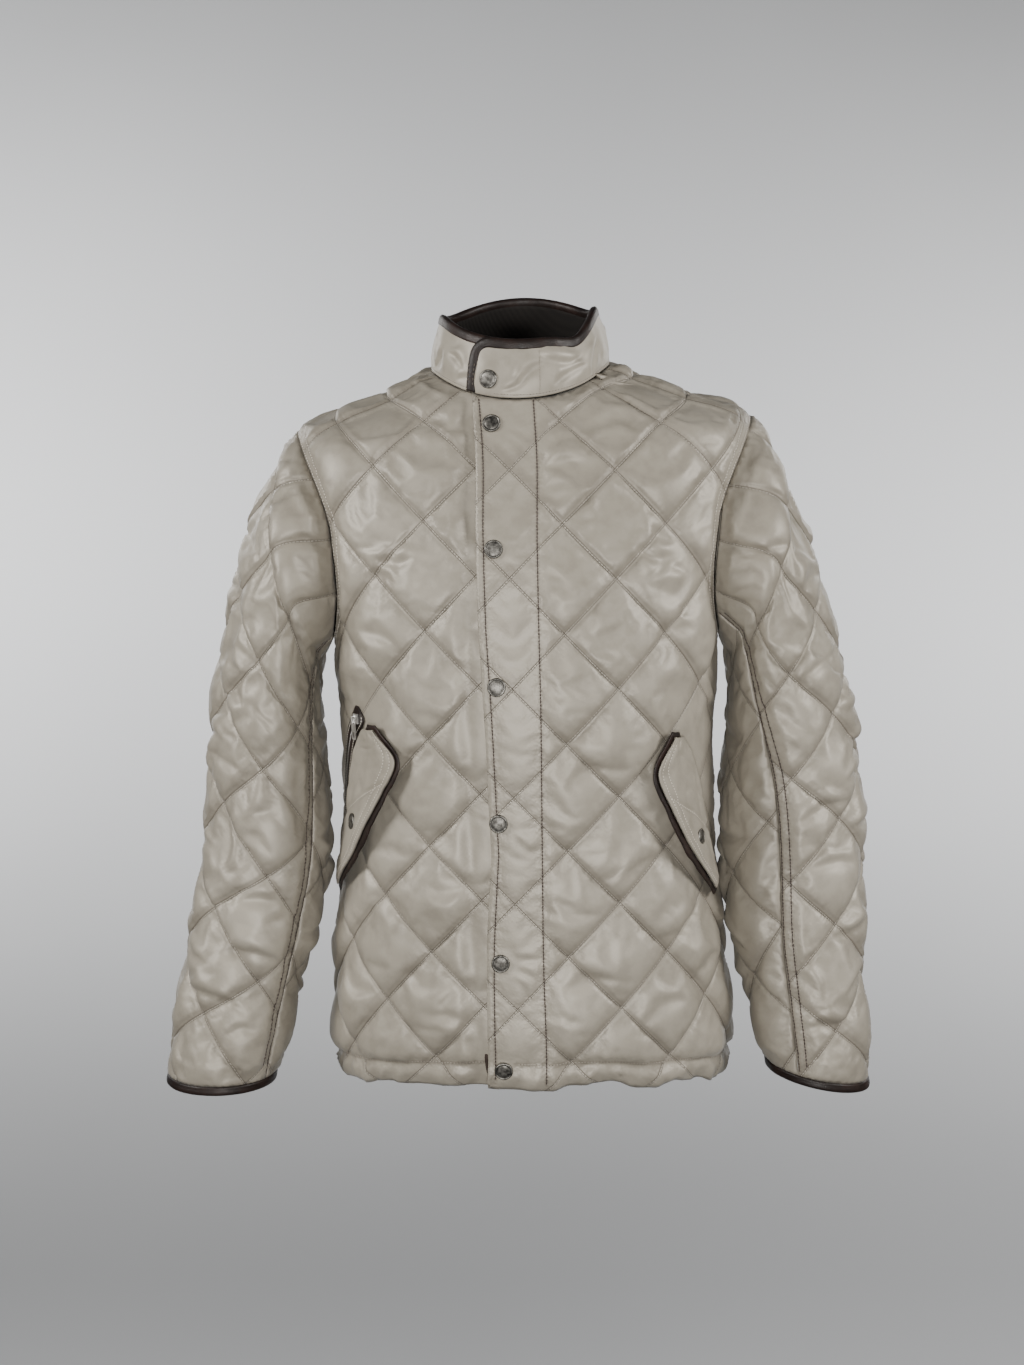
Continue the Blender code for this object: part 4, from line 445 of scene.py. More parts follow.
    def build(self):
        step = cellSide / quilt["steps"]
        low, high = self.outline.min(axis=0), self.outline.max(axis=0)
        midP, midQ = self.cells((low[0] + high[0]) / 2, (low[1] + high[1]) / 2)
        reach = int(max((high - low) / quilt["halfWidth"]) / 2) + 2
        bm = bmesh.new()
        bmesh.ops.create_grid(bm, x_segments=2 * reach * quilt["steps"],
                              y_segments=2 * reach * quilt["steps"],
                              size=reach)
        cells = np.array([vert.co[:2] for vert in bm.verts]) + np.array([round(midP), round(midQ)])
        x = self.crossing[0] + (cells[:, 0] + cells[:, 1]) * quilt["halfWidth"]
        v = self.crossing[1] + (cells[:, 0] - cells[:, 1]) * quilt["halfHeight"]
        points = np.column_stack([x, v])
        boxed = np.all((points > low) & (points < high), axis=1)
        keep = np.zeros(len(points), dtype=bool)
        some = np.where(boxed)[0]
        some = some[self.inside(points[some])]
        away, _ = self.toEdge(points[some, 0], points[some, 1])
        keep[some[away > 0.6 * step]] = True
        verts = list(bm.verts)
        for vert, (a, b) in zip(verts, points):
            vert.co = (a, b, 0.0)
        bmesh.ops.delete(bm, geom=[vert for vert, kept in zip(verts, keep) if not kept], context="VERTS")
        bmesh.ops.delete(bm, geom=[edge for edge in bm.edges if not edge.link_faces], context="EDGES")
        bmesh.ops.delete(bm, geom=[vert for vert in bm.verts if not vert.link_faces], context="VERTS")
        inner = [edge for edge in bm.edges if len(edge.link_faces) == 1]
        ring = [bm.verts.new((a, b, 0.0)) for a, b in self.outline]
        outer = [bm.edges.new((ring[k], ring[(k + 1) % len(ring)])) for k in range(len(ring))]
        bmesh.ops.triangle_fill(bm, use_beauty=True, edges=inner + outer, normal=(0, 0, 1))
        bmesh.ops.recalc_face_normals(bm, faces=bm.faces)
        bm.verts.ensure_lookup_table()
        flatPoints = np.array([vert.co[:2] for vert in bm.verts])
        x, v = flatPoints.T
        u, w = self.cloth.find(x, v)
        placeOf = {vert: k for k, vert in enumerate(ring)}
        for k, vert in enumerate(bm.verts):
            if vert in placeOf:
                u[k], w[k] = self.u[placeOf[vert]], self.w[placeOf[vert]]
        world, away, normals = self.place(x, v, u, w)
        p, q = self.cells(x, v)
        self.spots = (x, v, w, p, q, away)
        layer = bm.verts.layers.float_vector.new("cloth")
        for vert, spot, a, b, c in zip(bm.verts, world, p, q, self.toRow(x, v)):
            vert.co = spot
            vert[layer] = (a, b, min(c / mm, 50.0))
        bm.normal_update()
        facing = sum(vert.normal.dot(Vector(n)) for vert, n in zip(list(bm.verts)[::50], normals[::50]))
        if facing < 0:
            bmesh.ops.reverse_faces(bm, faces=bm.faces)
        return finished(self.name, bm)


def finished(name, bm, smoothFaces=True):
    mesh = bpy.data.meshes.new(name)
    bm.to_mesh(mesh)
    bm.free()
    if smoothFaces:
        mesh.shade_smooth()
    piece = bpy.data.objects.new(name, mesh)
    bpy.context.scene.collection.objects.link(piece)
    return piece


def thicken(piece, thickness):
    wall = piece.modifiers.new("wall", "SOLIDIFY")
    wall.thickness = thickness
    wall.offset = -1.0
    wall.use_rim = True


# creases: x0, v0, x1, v1, bend, half width, depth in mm; a ridge stands beside each trough, on its left
creases = {
    "frontLeft": (
        (150, -178, 108, -168, 6, 5.0, 4.0), (158, -192, 122, -196, -7, 4.5, 3.6),
        (148, -164, 122, -146, 3, 5.0, 2.6), (64, -46, 122, -36, 5, 8.0, 2.4),
        (60, -74, 112, -62, 7, 8.5, 2.2),
        (24, -92, 66, -84, 4, 7.0, 1.8), (66, -128, 104, -118, 6, 8.0, 1.8),
        (128, -262, 168, -246, 5, 7.0, 2.2),
        (60, -250, 96, -254, -4, 9.0, 1.2), (40, -392, 96, -384, 6, 8.0, 1.8),
        (90, -498, 140, -476, 8, 7.0, 2.4),
        (128, -560, 176, -540, -6, 7.0, 2.6), (34, -604, 84, -596, 5, 7.0, 2.0),
        (110, -644, 150, -622, 6, 6.0, 2.4),
        (172, -610, 210, -586, 7, 7.0, 2.6), (196, -352, 238, -330, 6, 7.0, 2.2),
        (-20, -54, 9, -86, 3, 3.0, 1.5),
        (-25, -60, -8, -100, 3, 3.0, 1.4), (-14, -48, 9, -64, 2, 2.6, 1.2), (-18, -180, 8, -204, 3, 3.2, 1.0),
        (-16, -448, 9, -470, -3, 3.0, 1.1), (-15, -584, 9, -604, 3, 2.8, 1.3),
        (-14, -574, 9, -578, 2, 2.6, 1.2),
        (-18, -592, -4, -622, 3, 3.0, 1.1), (18, -70, 52, -58, 4, 4.0, 1.8), (18, -92, 58, -84, 5, 4.5, 1.8),
        (18, -110, 44, -108, 3, 4.0, 1.4)),
    "frontRight": (
        (-148, -180, -106, -176, -6, 5.0, 3.6), (-160, -198, -124, -206, 6, 4.5, 3.2),
        (-62, -52, -112, -40, -6, 8.0, 2.2), (-70, -86, -116, -74, -5, 8.0, 2.2),
        (-56, -124, -92, -132, 6, 8.0, 1.8), (-130, -262, -168, -250, -5, 7.0, 2.2),
        (-62, -300, -102, -306, 5, 8.0, 1.6), (-70, -468, -118, -452, -7, 8.0, 2.2),
        (-66, -506, -104, -500, 5, 6.0, 2.0), (-120, -540, -168, -520, -7, 7.0, 2.4),
        (-80, -602, -128, -594, 6, 7.0, 2.0), (-60, -646, -98, -634, -5, 6.0, 2.2),
        (-170, -620, -208, -600, 6, 7.0, 2.4), (-198, -340, -240, -322, -6, 7.0, 2.2)),
    "backPanel": (
        (118, -176, 84, -190, 6, 5.0, 3.6), (-118, -176, -84, -192, -6, 5.0, 3.6),
        (124, -200, 92, -222, -5, 5.0, 3.0), (-124, -202, -92, -220, 5, 5.0, 3.0),
        (-70, -30, 0, -40, 8, 9.0, 2.0),
        (10, -66, 84, -52, -8, 9.0, 2.0), (-96, -110, -34, -120, 7, 9.0, 1.8),
        (30, -140, 92, -128, -7, 8.0, 1.8),
        (-60, -300, 20, -312, 9, 8.0, 2.4), (-20, -336, 80, -322, -9, 8.0, 2.6),
        (60, -286, 130, -270, 8, 7.0, 2.2),
        (-140, -330, -70, -344, 8, 7.0, 2.2), (-100, -520, -40, -534, 6, 8.0, 2.0),
        (40, -560, 110, -546, -6, 8.0, 2.0), (-150, -620, -96, -634, 6, 7.0, 2.2),
        (96, -640, 150, -622, -6, 7.0, 2.2)),
    "sleeveLeftUpper": (
        (-40, -330, 14, -322, 7, 5.0, 3.8), (-60, -348, -8, -350, -6, 4.5, 3.2),
        (-46, -398, 10, -392, 6, 4.5, 3.6),
        (-66, -420, -14, -424, 5, 4.5, 3.0), (-108, -318, -70, -296, 7, 5.0, 3.0),
        (-112, -452, -62, -440, 5, 5.0, 3.0), (-50, -470, 6, -462, -7, 5.0, 3.4),
        (-96, -500, -48, -512, 6, 5.0, 2.8), (-28, -540, 24, -528, 6, 4.5, 3.2),
        (-70, -578, -16, -570, -6, 5.0, 3.0), (-120, -600, -84, -634, 6, 4.0, 3.2),
        (-60, -640, 0, -628, 7, 5.0, 3.4), (-104, -664, -52, -672, 5, 4.5, 3.2),
        (-30, -196, 26, -180, 8, 6.5, 2.8),
        (-92, -224, -46, -206, 7, 6.5, 2.6), (20, -300, 90, -288, 8, 6.0, 3.0),
        (30, -430, 100, -440, -8, 6.0, 3.0),
        (24, -560, 92, -548, 7, 6.0, 3.0)),
    "sleeveLeftUnder": (
        (-50, -420, 10, -440, 7, 5.0, 3.0), (-10, -450, 50, -462, -6, 5.0, 3.0),
        (-46, -500, 14, -490, 6, 5.0, 3.0),
        (-30, -560, 36, -574, 6, 5.0, 3.0), (-40, -620, 20, -606, -6, 5.0, 3.0),
        (-20, -350, 40, -362, 6, 6.0, 2.2)),
    "sleeveRightUpper": (
        (70, -262, 20, -246, -7, 6.0, 3.0), (118, -300, 74, -288, 6, 5.5, 3.0),
        (96, -352, 62, -340, -6, 5.0, 3.4),
        (20, -402, 66, -394, 6, 5.0, 4.2), (8, -420, 36, -452, 5, 4.5, 4.2),
        (44, -432, 58, -404, 3, 4.5, 3.2),
        (104, -400, 94, -446, -5, 5.5, 3.4), (66, -470, 70, -520, 5, 4.5, 3.6),
        (88, -548, 130, -536, 6, 5.0, 3.6),
        (14, -520, 52, -506, 6, 4.5, 3.4), (30, -556, 66, -580, 5, 5.0, 3.0),
        (78, -604, 130, -592, 7, 5.0, 3.2),
        (20, -610, 62, -620, -6, 5.0, 3.0), (40, -660, 98, -650, 6, 4.5, 3.4),
        (4, -190, 58, -174, -8, 6.5, 2.6),
        (-30, -290, -96, -300, -8, 6.0, 3.0), (-26, -420, -96, -408, 8, 6.0, 3.0),
        (-30, -560, -90, -572, -7, 6.0, 3.0)),
}
creases["sleeveRightUnder"] = tuple((-x0, v0, -x1, v1, -bend, halfWidth, depth)
                                    for x0, v0, x1, v1, bend, halfWidth, depth in creases["sleeveLeftUnder"])


def creaseHeight(name, x, v):
    total = np.zeros(len(x))
    for row in creases[name]:
        x0, v0, x1, v1, bend, halfWidth, depth = [value * mm for value in row]
        run = np.array([x1 - x0, v1 - v0])
        length = np.linalg.norm(run)
        t = ((x - x0) * run[0] + (v - v0) * run[1]) / length ** 2
        off = ((v - v0) * run[0] - (x - x0) * run[1]) / length - bend * 4 * t * (1 - t)
        slim = halfWidth * (0.55 + 0.9 * np.clip(t * (1 - t) * 3, 0, 1))
        ends = smooth(-0.12, 0.30, t) * smooth(1.12, 0.70, t)
        ridge = 0.8 * np.exp(-(((off - 1.7 * slim) / (1.5 * slim)) ** 2))
        total += depth * ends * (ridge - np.exp(-((off / slim) ** 2)))
    return total


wrinkles = {"puckerLength": 8 * mm, "puckerPitch": 8 * mm, "puckerHeight": 0.36 * mm, "rowHeight": 1.5 * mm,
            "softPitch": 70 * mm, "softHeight": 0.7 * mm, "foldPitch": 40 * mm, "foldHeight": 1.3 * mm,
            "pillowPower": 0.48, "sag": 0.70, "hemWave": 4.6 * mm, "hemWaves": 8, "hemReach": 0.045}


rowPull = {"reach": 6e-3, "flatten": 0.45, "pitch": 5.5e-3, "depthPitch": 16e-3, "bunchReach": 5e-3,
           "groove": 0.5 * mm, "grooveWidth": 1.5e-3}
seamWrinkles = {"pitch": 9e-3, "finePitch": 5e-3, "reach": 9e-3, "height": 0.45 * mm}
placketPuckers = {"pitch": 9.5e-3, "spread": 9e-3, "reach": 11e-3, "height": 1.7 * mm}


def quiltHeight(panel, x, v, away, seed):
    p, q = panel.cells(x, v)
    cell = 1.0 + 0.16 * (scatter(np.floor(p), np.floor(q), seed) - 0.5)
    low = (p - np.floor(p)) ** wrinkles["sag"]  # the filling sags, so the lower sides are steeper
    high = 1.0 - (1.0 - (q - np.floor(q))) ** wrinkles["sag"]
    pillow = quilt["loft"] * cell * np.abs(np.sin(np.pi * low)
                                           * np.sin(np.pi * high)) ** wrinkles["pillowPower"]
    pucker = np.zeros(len(x))
    for a, b, k in ((p, q, 1.0), (q, p, 2.0)):
        line = np.round(a)
        d = (a - line) * cellSide
        along = b * cellSide / wrinkles["puckerPitch"]
        wave = noise(along, line * 3.7 + np.sign(d) * 0.35, seed + k)
        reach = wrinkles["puckerLength"] * (1.0 + 0.6 * noise(along * 0.37, line * 5.1, seed + k + 4))
        pucker += wave * np.exp(-np.abs(d) / reach) * smooth(0.0, 2.5 * mm, np.abs(d))
    soft = noise(x / wrinkles["softPitch"], v / (0.6 * wrinkles["softPitch"]), seed + 9)
    pitch = wrinkles["foldPitch"]
    fold = (1.0 - np.abs(noise(x / pitch + 0.4 * v / pitch, v / (0.5 * pitch), seed + 11))) ** 7
    fold = fold * smooth(0.05, 0.55, noise(x / (1.5 * pitch), v / (1.5 * pitch), seed + 12))
    lift = np.abs(np.sin(np.pi * p) * np.sin(np.pi * q)) ** 0.5
    fade = np.clip(away / quilt["seamFade"], 0.0, 1.0) ** 0.66
    share = 1.0 if panel.name.startswith("sleeve") else 0.45
    return (pillow * fade + wrinkles["puckerHeight"] * pucker * smooth(0.0, 8 * mm, away)
            + (wrinkles["softHeight"] * soft - share * wrinkles["foldHeight"] * fold) * lift * fade)


def seamPuckers(x, v, away, seed):
    # short wrinkles that run in from the sewn edges
    pitch, fine = seamWrinkles["pitch"], seamWrinkles["finePitch"]
    wave = noise(x / pitch, v / pitch, seed + 20) + 0.6 * noise(x / fine, v / fine, seed + 21)
    return seamWrinkles["height"] * wave * np.exp(-away / seamWrinkles["reach"]) * smooth(0.0, 3 * mm, away)


def pocketZone(x, v):
    along = smooth(-0.56, -0.52, v) * smooth(-0.285, -0.315, v)
    return along * np.exp(-(((x - 0.205 + (v + 0.43) * 0.27) / 0.040) ** 4))


casing = {"roll": 3.4 * mm, "gathers": 4.8 * mm, "fine": 1.1 * mm, "pitch": 21e-3, "finePitch": 7e-3,
          "lean": 9e-3, "leanPitch": 50e-3, "above": 1.7 * mm, "abovePitch": 11e-3}


def casingHeight(x, w, seed):
    share = w / shape["casing"]
    roll = np.sin(np.clip(share, 0.0, 1.0) * np.pi * 0.5 + np.pi * 0.25) ** 2 - 0.5 * smooth(0.6, 1.0, share)
    lean = x + casing["lean"] * share * noise(x / casing["leanPitch"], x * 0, seed + 5)
    gathers = 1.0 - np.abs(noise(lean / casing["pitch"], share * 0.5, seed)) ** 0.55
    fine = noise(lean / casing["finePitch"], share * 1.2, seed + 3)
    return (casing["roll"] * roll + casing["gathers"] * gathers * smooth(-0.3, 0.3, share)
            + casing["fine"] * fine * smooth(1.05, 0.6, share))


def bodyRelief(panel, x, v, away, w):
    seed = {"frontLeft": 1, "frontRight": 2, "backPanel": 3}[panel.name]
    height = quiltHeight(panel, x, v, away, seed)
    sideX = np.abs(x) if panel.name != "backPanel" else 0.27 - np.abs(x)
    squeezed = smooth(0.19, 0.25, sideX) * smooth(-0.50, -0.40, v)
    height = height * (1.0 - 0.75 * squeezed)
    if panel.name == "frontLeft":
        placket = smooth(0.035, shape["placketSeam"], x)
        height = height * (1 - placket) + 1.2 * mm * placket * height / quilt["loft"]
        d = np.abs(x - shape["placketSeam"])
        radial = noise(v / placketPuckers["pitch"] + 0.3 * d / placketPuckers["spread"],
                       np.sign(x - shape["placketSeam"]) * 2.3, 31)
        height = height + (placketPuckers["height"] * radial * np.exp(-d / placketPuckers["reach"])
                           * smooth(0, 2.5 * mm, d))
    if panel.name != "backPanel":
        side = 1.0 if panel.name == "frontLeft" else -1.0
        height = height * (1.0 - 0.96 * pocketZone(side * x, v))
    height = height + creaseHeight(panel.name, x, v) * np.clip(away / 0.02, 0.0, 1.0)
    height = height + seamPuckers(x, v, away, seed) * (1.0 - 0.7 * smooth(0.68, 0.74, w))
    above = np.exp(-np.clip(w - shape["casing"], 0, 1) / 18e-3) * smooth(0.022, 0.030, w)
    height = height + casing["above"] * above * noise(x / casing["abovePitch"], w / 60e-3, seed + 14)
    hemmed = smooth(0.030, 0.024, w)
    height = height * (1 - hemmed) + casingHeight(x, w, seed) * hemmed
    if panel.name == "frontRight":
        height = height * smooth(-0.054, -0.074, x)
    return np.maximum(height, 0.1 * mm)


def sleeveRelief(panel, x, v, away, w):
    seed = {"sleeveLeftUpper": 4, "sleeveLeftUnder": 5, "sleeveRightUpper": 6,
            "sleeveRightUnder": 7}[panel.name]
    height = quiltHeight(panel, x, v, away, seed)
    if panel.name.endswith("Under"):
        height = height * (1.0 - 0.75 * np.exp(-((x / 0.065) ** 4)) * smooth(-0.52, -0.44, v))
    height = height + creaseHeight(panel.name, x, v) * np.clip(away / 0.02, 0.0, 1.0)
    height = height + seamPuckers(x, v, away, seed)
    return np.maximum(height, 0.1 * mm)


def halfGap(cloth, angle, levels, inward):
    levels = np.atleast_1d(levels)
    here = cloth.read(cloth.x, np.full(len(levels), angle), levels)
    there = cloth.read(cloth.x, np.full(len(levels), angle + inward), levels)
    return angle + inward * 0.5 * shape["seamGap"] / np.abs(there - here)


def neckNormals(cloth, angles):
    outward, _ = collarDirections(angles)
    return unit(cloth.normals(angles, np.full(len(angles), shape["neckV"])) + outward)


collar = {"wall": 4.2 * mm, "lapLift": 6.6 * mm, "lapStart": -31.0, "underEnd": 364.0, "height": 58 * mm,
          "bindingHeight": 7.5 * mm, "lapRoom": 1.4 * mm, "cornerAngle": 8.0, "foot": 0.06}
collar["lapEdge"] = collar["lapStart"] + 3.6
collar["wallTop"] = 1.0 - collar["bindingHeight"] / collar["height"]
collar["cornerHeight"] = 11.0 * mm / collar["height"]
rim = {"halfWidth": 0.0765, "midX": -0.003, "sideY": 0.004, "sideZ": 0.0545,
       "frontY": -0.077, "frontZ": 0.034, "backY": 0.078, "backZ": 0.077,
       "waves": ((38.0, 15.0, -8.5), (86.0, 24.0, 10.0), (278.0, 26.0, 6.5))}  # angle, spread, height in mm


def collarAt(angles, heights):
    angles, heights = np.asarray(angles, dtype=float), np.asarray(heights, dtype=float)
    seam = bodyAt(np.mod(angles + 180.0, 360.0) - 180.0, np.full(len(angles), shape["neckV"]))
    turn = np.radians(angles)
    forward = np.cos(turn)
    depth = np.where(forward >= 0, rim["sideY"] - rim["frontY"], rim["backY"] - rim["sideY"])
    endZ = np.where(forward >= 0, rim["frontZ"], rim["backZ"])
    x = rim["midX"] + rim["halfWidth"] * np.sin(turn)
    top = np.stack([x, rim["sideY"] - depth * forward,
                    rim["sideZ"] + (endZ - rim["sideZ"]) * forward ** 2 + shape["lean"] * x], axis=-1)
    for middle, spread, height in rim["waves"]:
        top[:, 2] += height * mm * np.exp(-(((angles - middle) / spread) ** 2))
    top[:, 0] -= 6 * mm * np.exp(-(((angles - 84.0) / 30.0) ** 2))
    t = heights[:, None]
    lap = collar["lapLift"] * smooth(75.0, 20.0, angles)
    outward = unit(np.stack([np.sin(turn), -np.cos(turn), np.zeros(len(turn))], axis=-1))
    bulge = 0.0025 * np.sin(np.pi * heights)
    return seam * (1 - t) + top * t + outward * (lap + bulge)[:, None]


def collarDirections(angles):
    angles = np.asarray(angles, dtype=float)
    zero = np.zeros(len(angles))
    up = unit(collarAt(angles, zero + 0.02) - collarAt(angles, zero))
    ring = unit(collarAt(angles + 0.5, zero) - collarAt(angles - 0.5, zero))
    return unit(np.cross(ring, up)), up


fineSide = np.linspace(0.0, shape["underarmV"], 160)
fineShoulder = np.linspace(shape["shoulderV"], shape["neckV"], 60)
fineTurn = np.linspace(179.9, 0.1, 180)


def frontPanel(name, crossing, armhole, side):
    lift = (lambda x, v: shape["placketLift"] * smooth(0.034, 0.016, x)) if side > 0 else None
    panel = Panel(name, frontMap, crossing, bodyRelief, lift)
    seam = 90.0 * side
    freeX = placketEdgeTable[0][1] if side > 0 else 4 * mm
    hemEnd = float(frontMap.read(frontMap.x, np.array([seam]), np.array([0.0]))[0])
    hem = frontMap.angleAtX(np.linspace(freeX, hemEnd, 80), np.zeros(80))
    panel.edge(hem, 0.0)
    panel.edge(halfGap(frontMap, seam, fineSide, -side), fineSide)
    panel.edge(np.interp(fineTurn, np.arange(181), armhole.frontAngles),
               np.interp(fineTurn, np.arange(181), armhole.frontLevels),
               armhole.borderNormals(fineTurn, True))
    panel.edge(halfGap(frontMap, seam, fineShoulder, -side), fineShoulder)
    last = collar["lapStart"] if side > 0 else float(frontMap.angleAtX([freeX], [shape["neckV"]])[0])
    neck = np.linspace(float(halfGap(frontMap, seam, shape["neckV"], -side)[0]), last, 80)
    panel.edge(neck, shape["neckV"], neckNormals(frontMap, neck))
    top = float(frontMap.read(frontMap.v, neck[-1:], np.array([shape["neckV"]]))[0])
    foot = float(frontMap.read(frontMap.v, hem[:1], np.zeros(1))[0])
    vs = np.linspace(top - 1 * mm, foot + 1 * mm, 200)
    xs = np.interp(vs, *zip(*placketEdgeTable)) if side > 0 else np.full(200, freeX)
    u, w = frontMap.find(xs, vs)
    panel.edge(u, w)
    panel.close()
    return panel


def backPanel(name, crossing):
    panel = Panel(name, backMap, crossing, bodyRelief)
    ends = backMap.read(backMap.x, np.array([90.0, 270.0]), np.zeros(2))
    panel.edge(backMap.angleAtX(np.linspace(ends[0], ends[1], 120), np.zeros(120)), 0.0)
    for side in (-1, 1):
        armhole = armholes[side]
        seam, inward = (270.0, -1.0) if side < 0 else (90.0, 1.0)
        parts = [(halfGap(backMap, seam, fineSide, inward), fineSide, None),
                 (np.interp(fineTurn, np.arange(181), armhole.backAngles),
                  np.interp(fineTurn, np.arange(181), armhole.backLevels),
                  armhole.borderNormals(360.0 - fineTurn, True)),
                 (halfGap(backMap, seam, fineShoulder, inward), fineShoulder, None)]
        if side < 0:
            for u, w, normals in parts:
                panel.edge(u, w, normals)
            neck = np.linspace(float(halfGap(backMap, 270.0, shape["neckV"], -1.0)[0]),
                               float(halfGap(backMap, 90.0, shape["neckV"], 1.0)[0]), 160)
            panel.edge(neck, shape["neckV"], neckNormals(backMap, neck))
        else:
            for u, w, normals in reversed(parts):
                panel.edge(u[::-1], w[::-1], None if normals is None else normals[::-1])
    panel.close()
    return panel


def sleevePanel(name, crossing, armhole, rings, seams, upper):
    first, last, zero = (-180.0, 180.0, 0.0) if upper else (60.0, 300.0, 180.0)
    cloth = sleeveMap(armhole, rings, first, last, zero)
    panel = Panel(name, cloth, crossing, sleeveRelief)
    levels = np.linspace(0.0, 1.0, 260)
    frontSeam, backSeam = throughRows(seams, levels).T
    draw = 0.5 * shape["seamGap"] / math.radians(0.065)
    low, high = (backSeam + draw, frontSeam - draw) if upper else (frontSeam + draw, backSeam + 360.0 - draw)
    top = np.linspace(low[0], high[0], 200)
    cuff = np.linspace(high[-1], low[-1], 100)
    panel.edge(top, 0.0, armhole.borderNormals(top, False))
    panel.edge(high, levels)
    panel.edge(cuff, 1.0)
    panel.edge(low[::-1], levels[::-1])
    panel.close()
    return panel


panels = {
    "front_left": frontPanel("frontLeft", (-0.015, -0.413), armholes[1], 1),
    "front_right": frontPanel("frontRight", (-0.0475, -0.410), armholes[-1], -1),
    "back": backPanel("backPanel", (0.0, -0.410)),
}
for word, side, rings, seams, upperCross, underCross in (
        ("Left", 1, leftSleeveTable, leftSeamTable, (-0.118, -0.405), (0.030, -0.500)),
        ("Right", -1, rightSleeveTable, rightSeamTable, (0.112, -0.405), (-0.020, -0.500))):
    for half, crossing in (("Upper", upperCross), ("Under", underCross)):
        node = f"sleeve_{word.lower()}_{half.lower()}"
        panels[node] = sleevePanel(f"sleeve{word}{half}", crossing, armholes[side], rings, seams,
                                   half == "Upper")

# rows of stitches sewn on the panels: name, node, x and v along the row, and the kind of thread
placketV = np.linspace(-0.012, -0.700, 330)
panelRows = [
    ("placketEdgeStitches", "front_left", (np.interp(placketV, *zip(*placketEdgeTable)) + 7.2 * mm, placketV),
     "dark"),
    ("placketSeamStitches", "front_left", (np.full(330, shape["placketSeam"]), placketV), "dark"),
]
for nodeName, edges in (("front_left", (2,)), ("front_right", (2,)), ("back", (2, 6))):
    for edge in edges:
        for k, inset in enumerate((3.0 * mm, 11.5 * mm)):
            panelRows.append((f"armholeStitches{nodeName.title().replace('_', '')}{edge}{k}", nodeName,
                              panels[nodeName].along(edge, inset), "pale"))
for side in ("left", "right"):
    for edge in (1, 3):
        for k, inset in enumerate((1.6 * mm, 9.6 * mm)):
            nodeName = f"sleeve_{side}_upper"
            panelRows.append((f"sleeveSeamStitches{side.title()}{edge}{k}", nodeName,
                              panels[nodeName].along(edge, inset), "dark"))
for nodeName in ("front_left", "front_right", "back"):
    panelRows.append((f"hemStitches{nodeName.title().replace('_', '')}", nodeName,
                      panels[nodeName].along(0, shape["casing"]), "tonal"))
for name, nodeName, (x, v), colour in panelRows:
    panels[nodeName].sew(x, v)

# the panels are blown up between their stitch lines, with a little more cloth than the flat size
puff = {"pressure": 2.4, "gravity": 0.25, "frames": 18, "mostMove": 6.0 * mm, "flatExcess": 0.004,
        "bending": 0.32,
        "quality": 5, "mass": 0.15, "stiffness": 20.0, "shear": 6.0, "damping": 8.0, "bendingDamping": 0.5,
        "air": 2.0,
        "excess": {"frontLeft": 0.012, "frontRight": 0.012, "backPanel": 0.012, "sleeveLeftUpper": 0.026,
                   "sleeveLeftUnder": 0.024, "sleeveRightUpper": 0.026, "sleeveRightUnder": 0.024}}


def pinned(panel):
    # 1 where the cloth is held down: stitch lines, edges, snaps, and what lies under the pockets
    x, v, w, p, q, away = panel.spots
    onLine = (np.abs(p - np.round(p)) < 0.01) | (np.abs(q - np.round(q)) < 0.01)
    held = np.where(onLine | (away < 0.5 * mm), 1.0, 0.0)
    if not panel.name.startswith("sleeve"):
        held = np.maximum(held, np.where(np.abs(w - shape["casing"]) < 2.2 * mm, 1.0, 0.0))
    if panel.name.startswith("front"):
        side = 1.0 if panel.name == "frontLeft" else -1.0
        held = np.maximum(held, smooth(0.25, 0.6, pocketZone(side * x, v)))
    if panel.name == "frontLeft":
        for level in shape["snapLevels"]:
            held = np.maximum(held, smooth(15 * mm, 11 * mm, np.hypot(x + 0.030, v - level)))
        edgeLine = np.interp(v, *zip(*placketEdgeTable)) + 7.2 * mm
        held = np.maximum(held, np.where(x < edgeLine + 1.8 * mm, 1.0, 0.0))
    return np.maximum(held, np.where(panel.toRow(x, v) < 2.4 * mm, 1.0, 0.0))


def addPuff(panel, piece):
    x, v = panel.spots[:2]
    held = pinned(panel)
    flatter = smooth(0.03, 0.01, x) if panel.name == "frontLeft" else np.zeros(len(x))
    for name, weights in (("sewn", held), ("flatter", flatter)):
        group = piece.vertex_groups.new(name=name)
        for k in np.where(weights > 0.01)[0]:
            group.add([int(k)], float(weights[k]), "REPLACE")
    cloth = piece.modifiers.new("puff", "CLOTH")
    settings = cloth.settings
    settings.quality = puff["quality"]
    settings.mass = puff["mass"]
    settings.tension_stiffness = settings.compression_stiffness = puff["stiffness"]
    settings.shear_stiffness = puff["shear"]
    settings.bending_stiffness = puff["bending"]
    settings.tension_damping = settings.compression_damping = settings.shear_damping = puff["damping"]
    settings.bending_damping = puff["bendingDamping"]
    settings.air_damping = puff["air"]
    settings.vertex_group_mass = "sewn"
    settings.vertex_group_shrink = "flatter"
    settings.shrink_min = -puff["excess"][panel.name]
    settings.shrink_max = -puff["flatExcess"]
    settings.use_pressure = True
    settings.uniform_pressure_force = puff["pressure"]
    settings.effector_weights.gravity = puff["gravity"]
    cloth.collision_settings.use_collision = False
    cloth.collision_settings.use_self_collision = False
    cloth.point_cache.frame_start, cloth.point_cache.frame_end = 1, puff["frames"] + 2


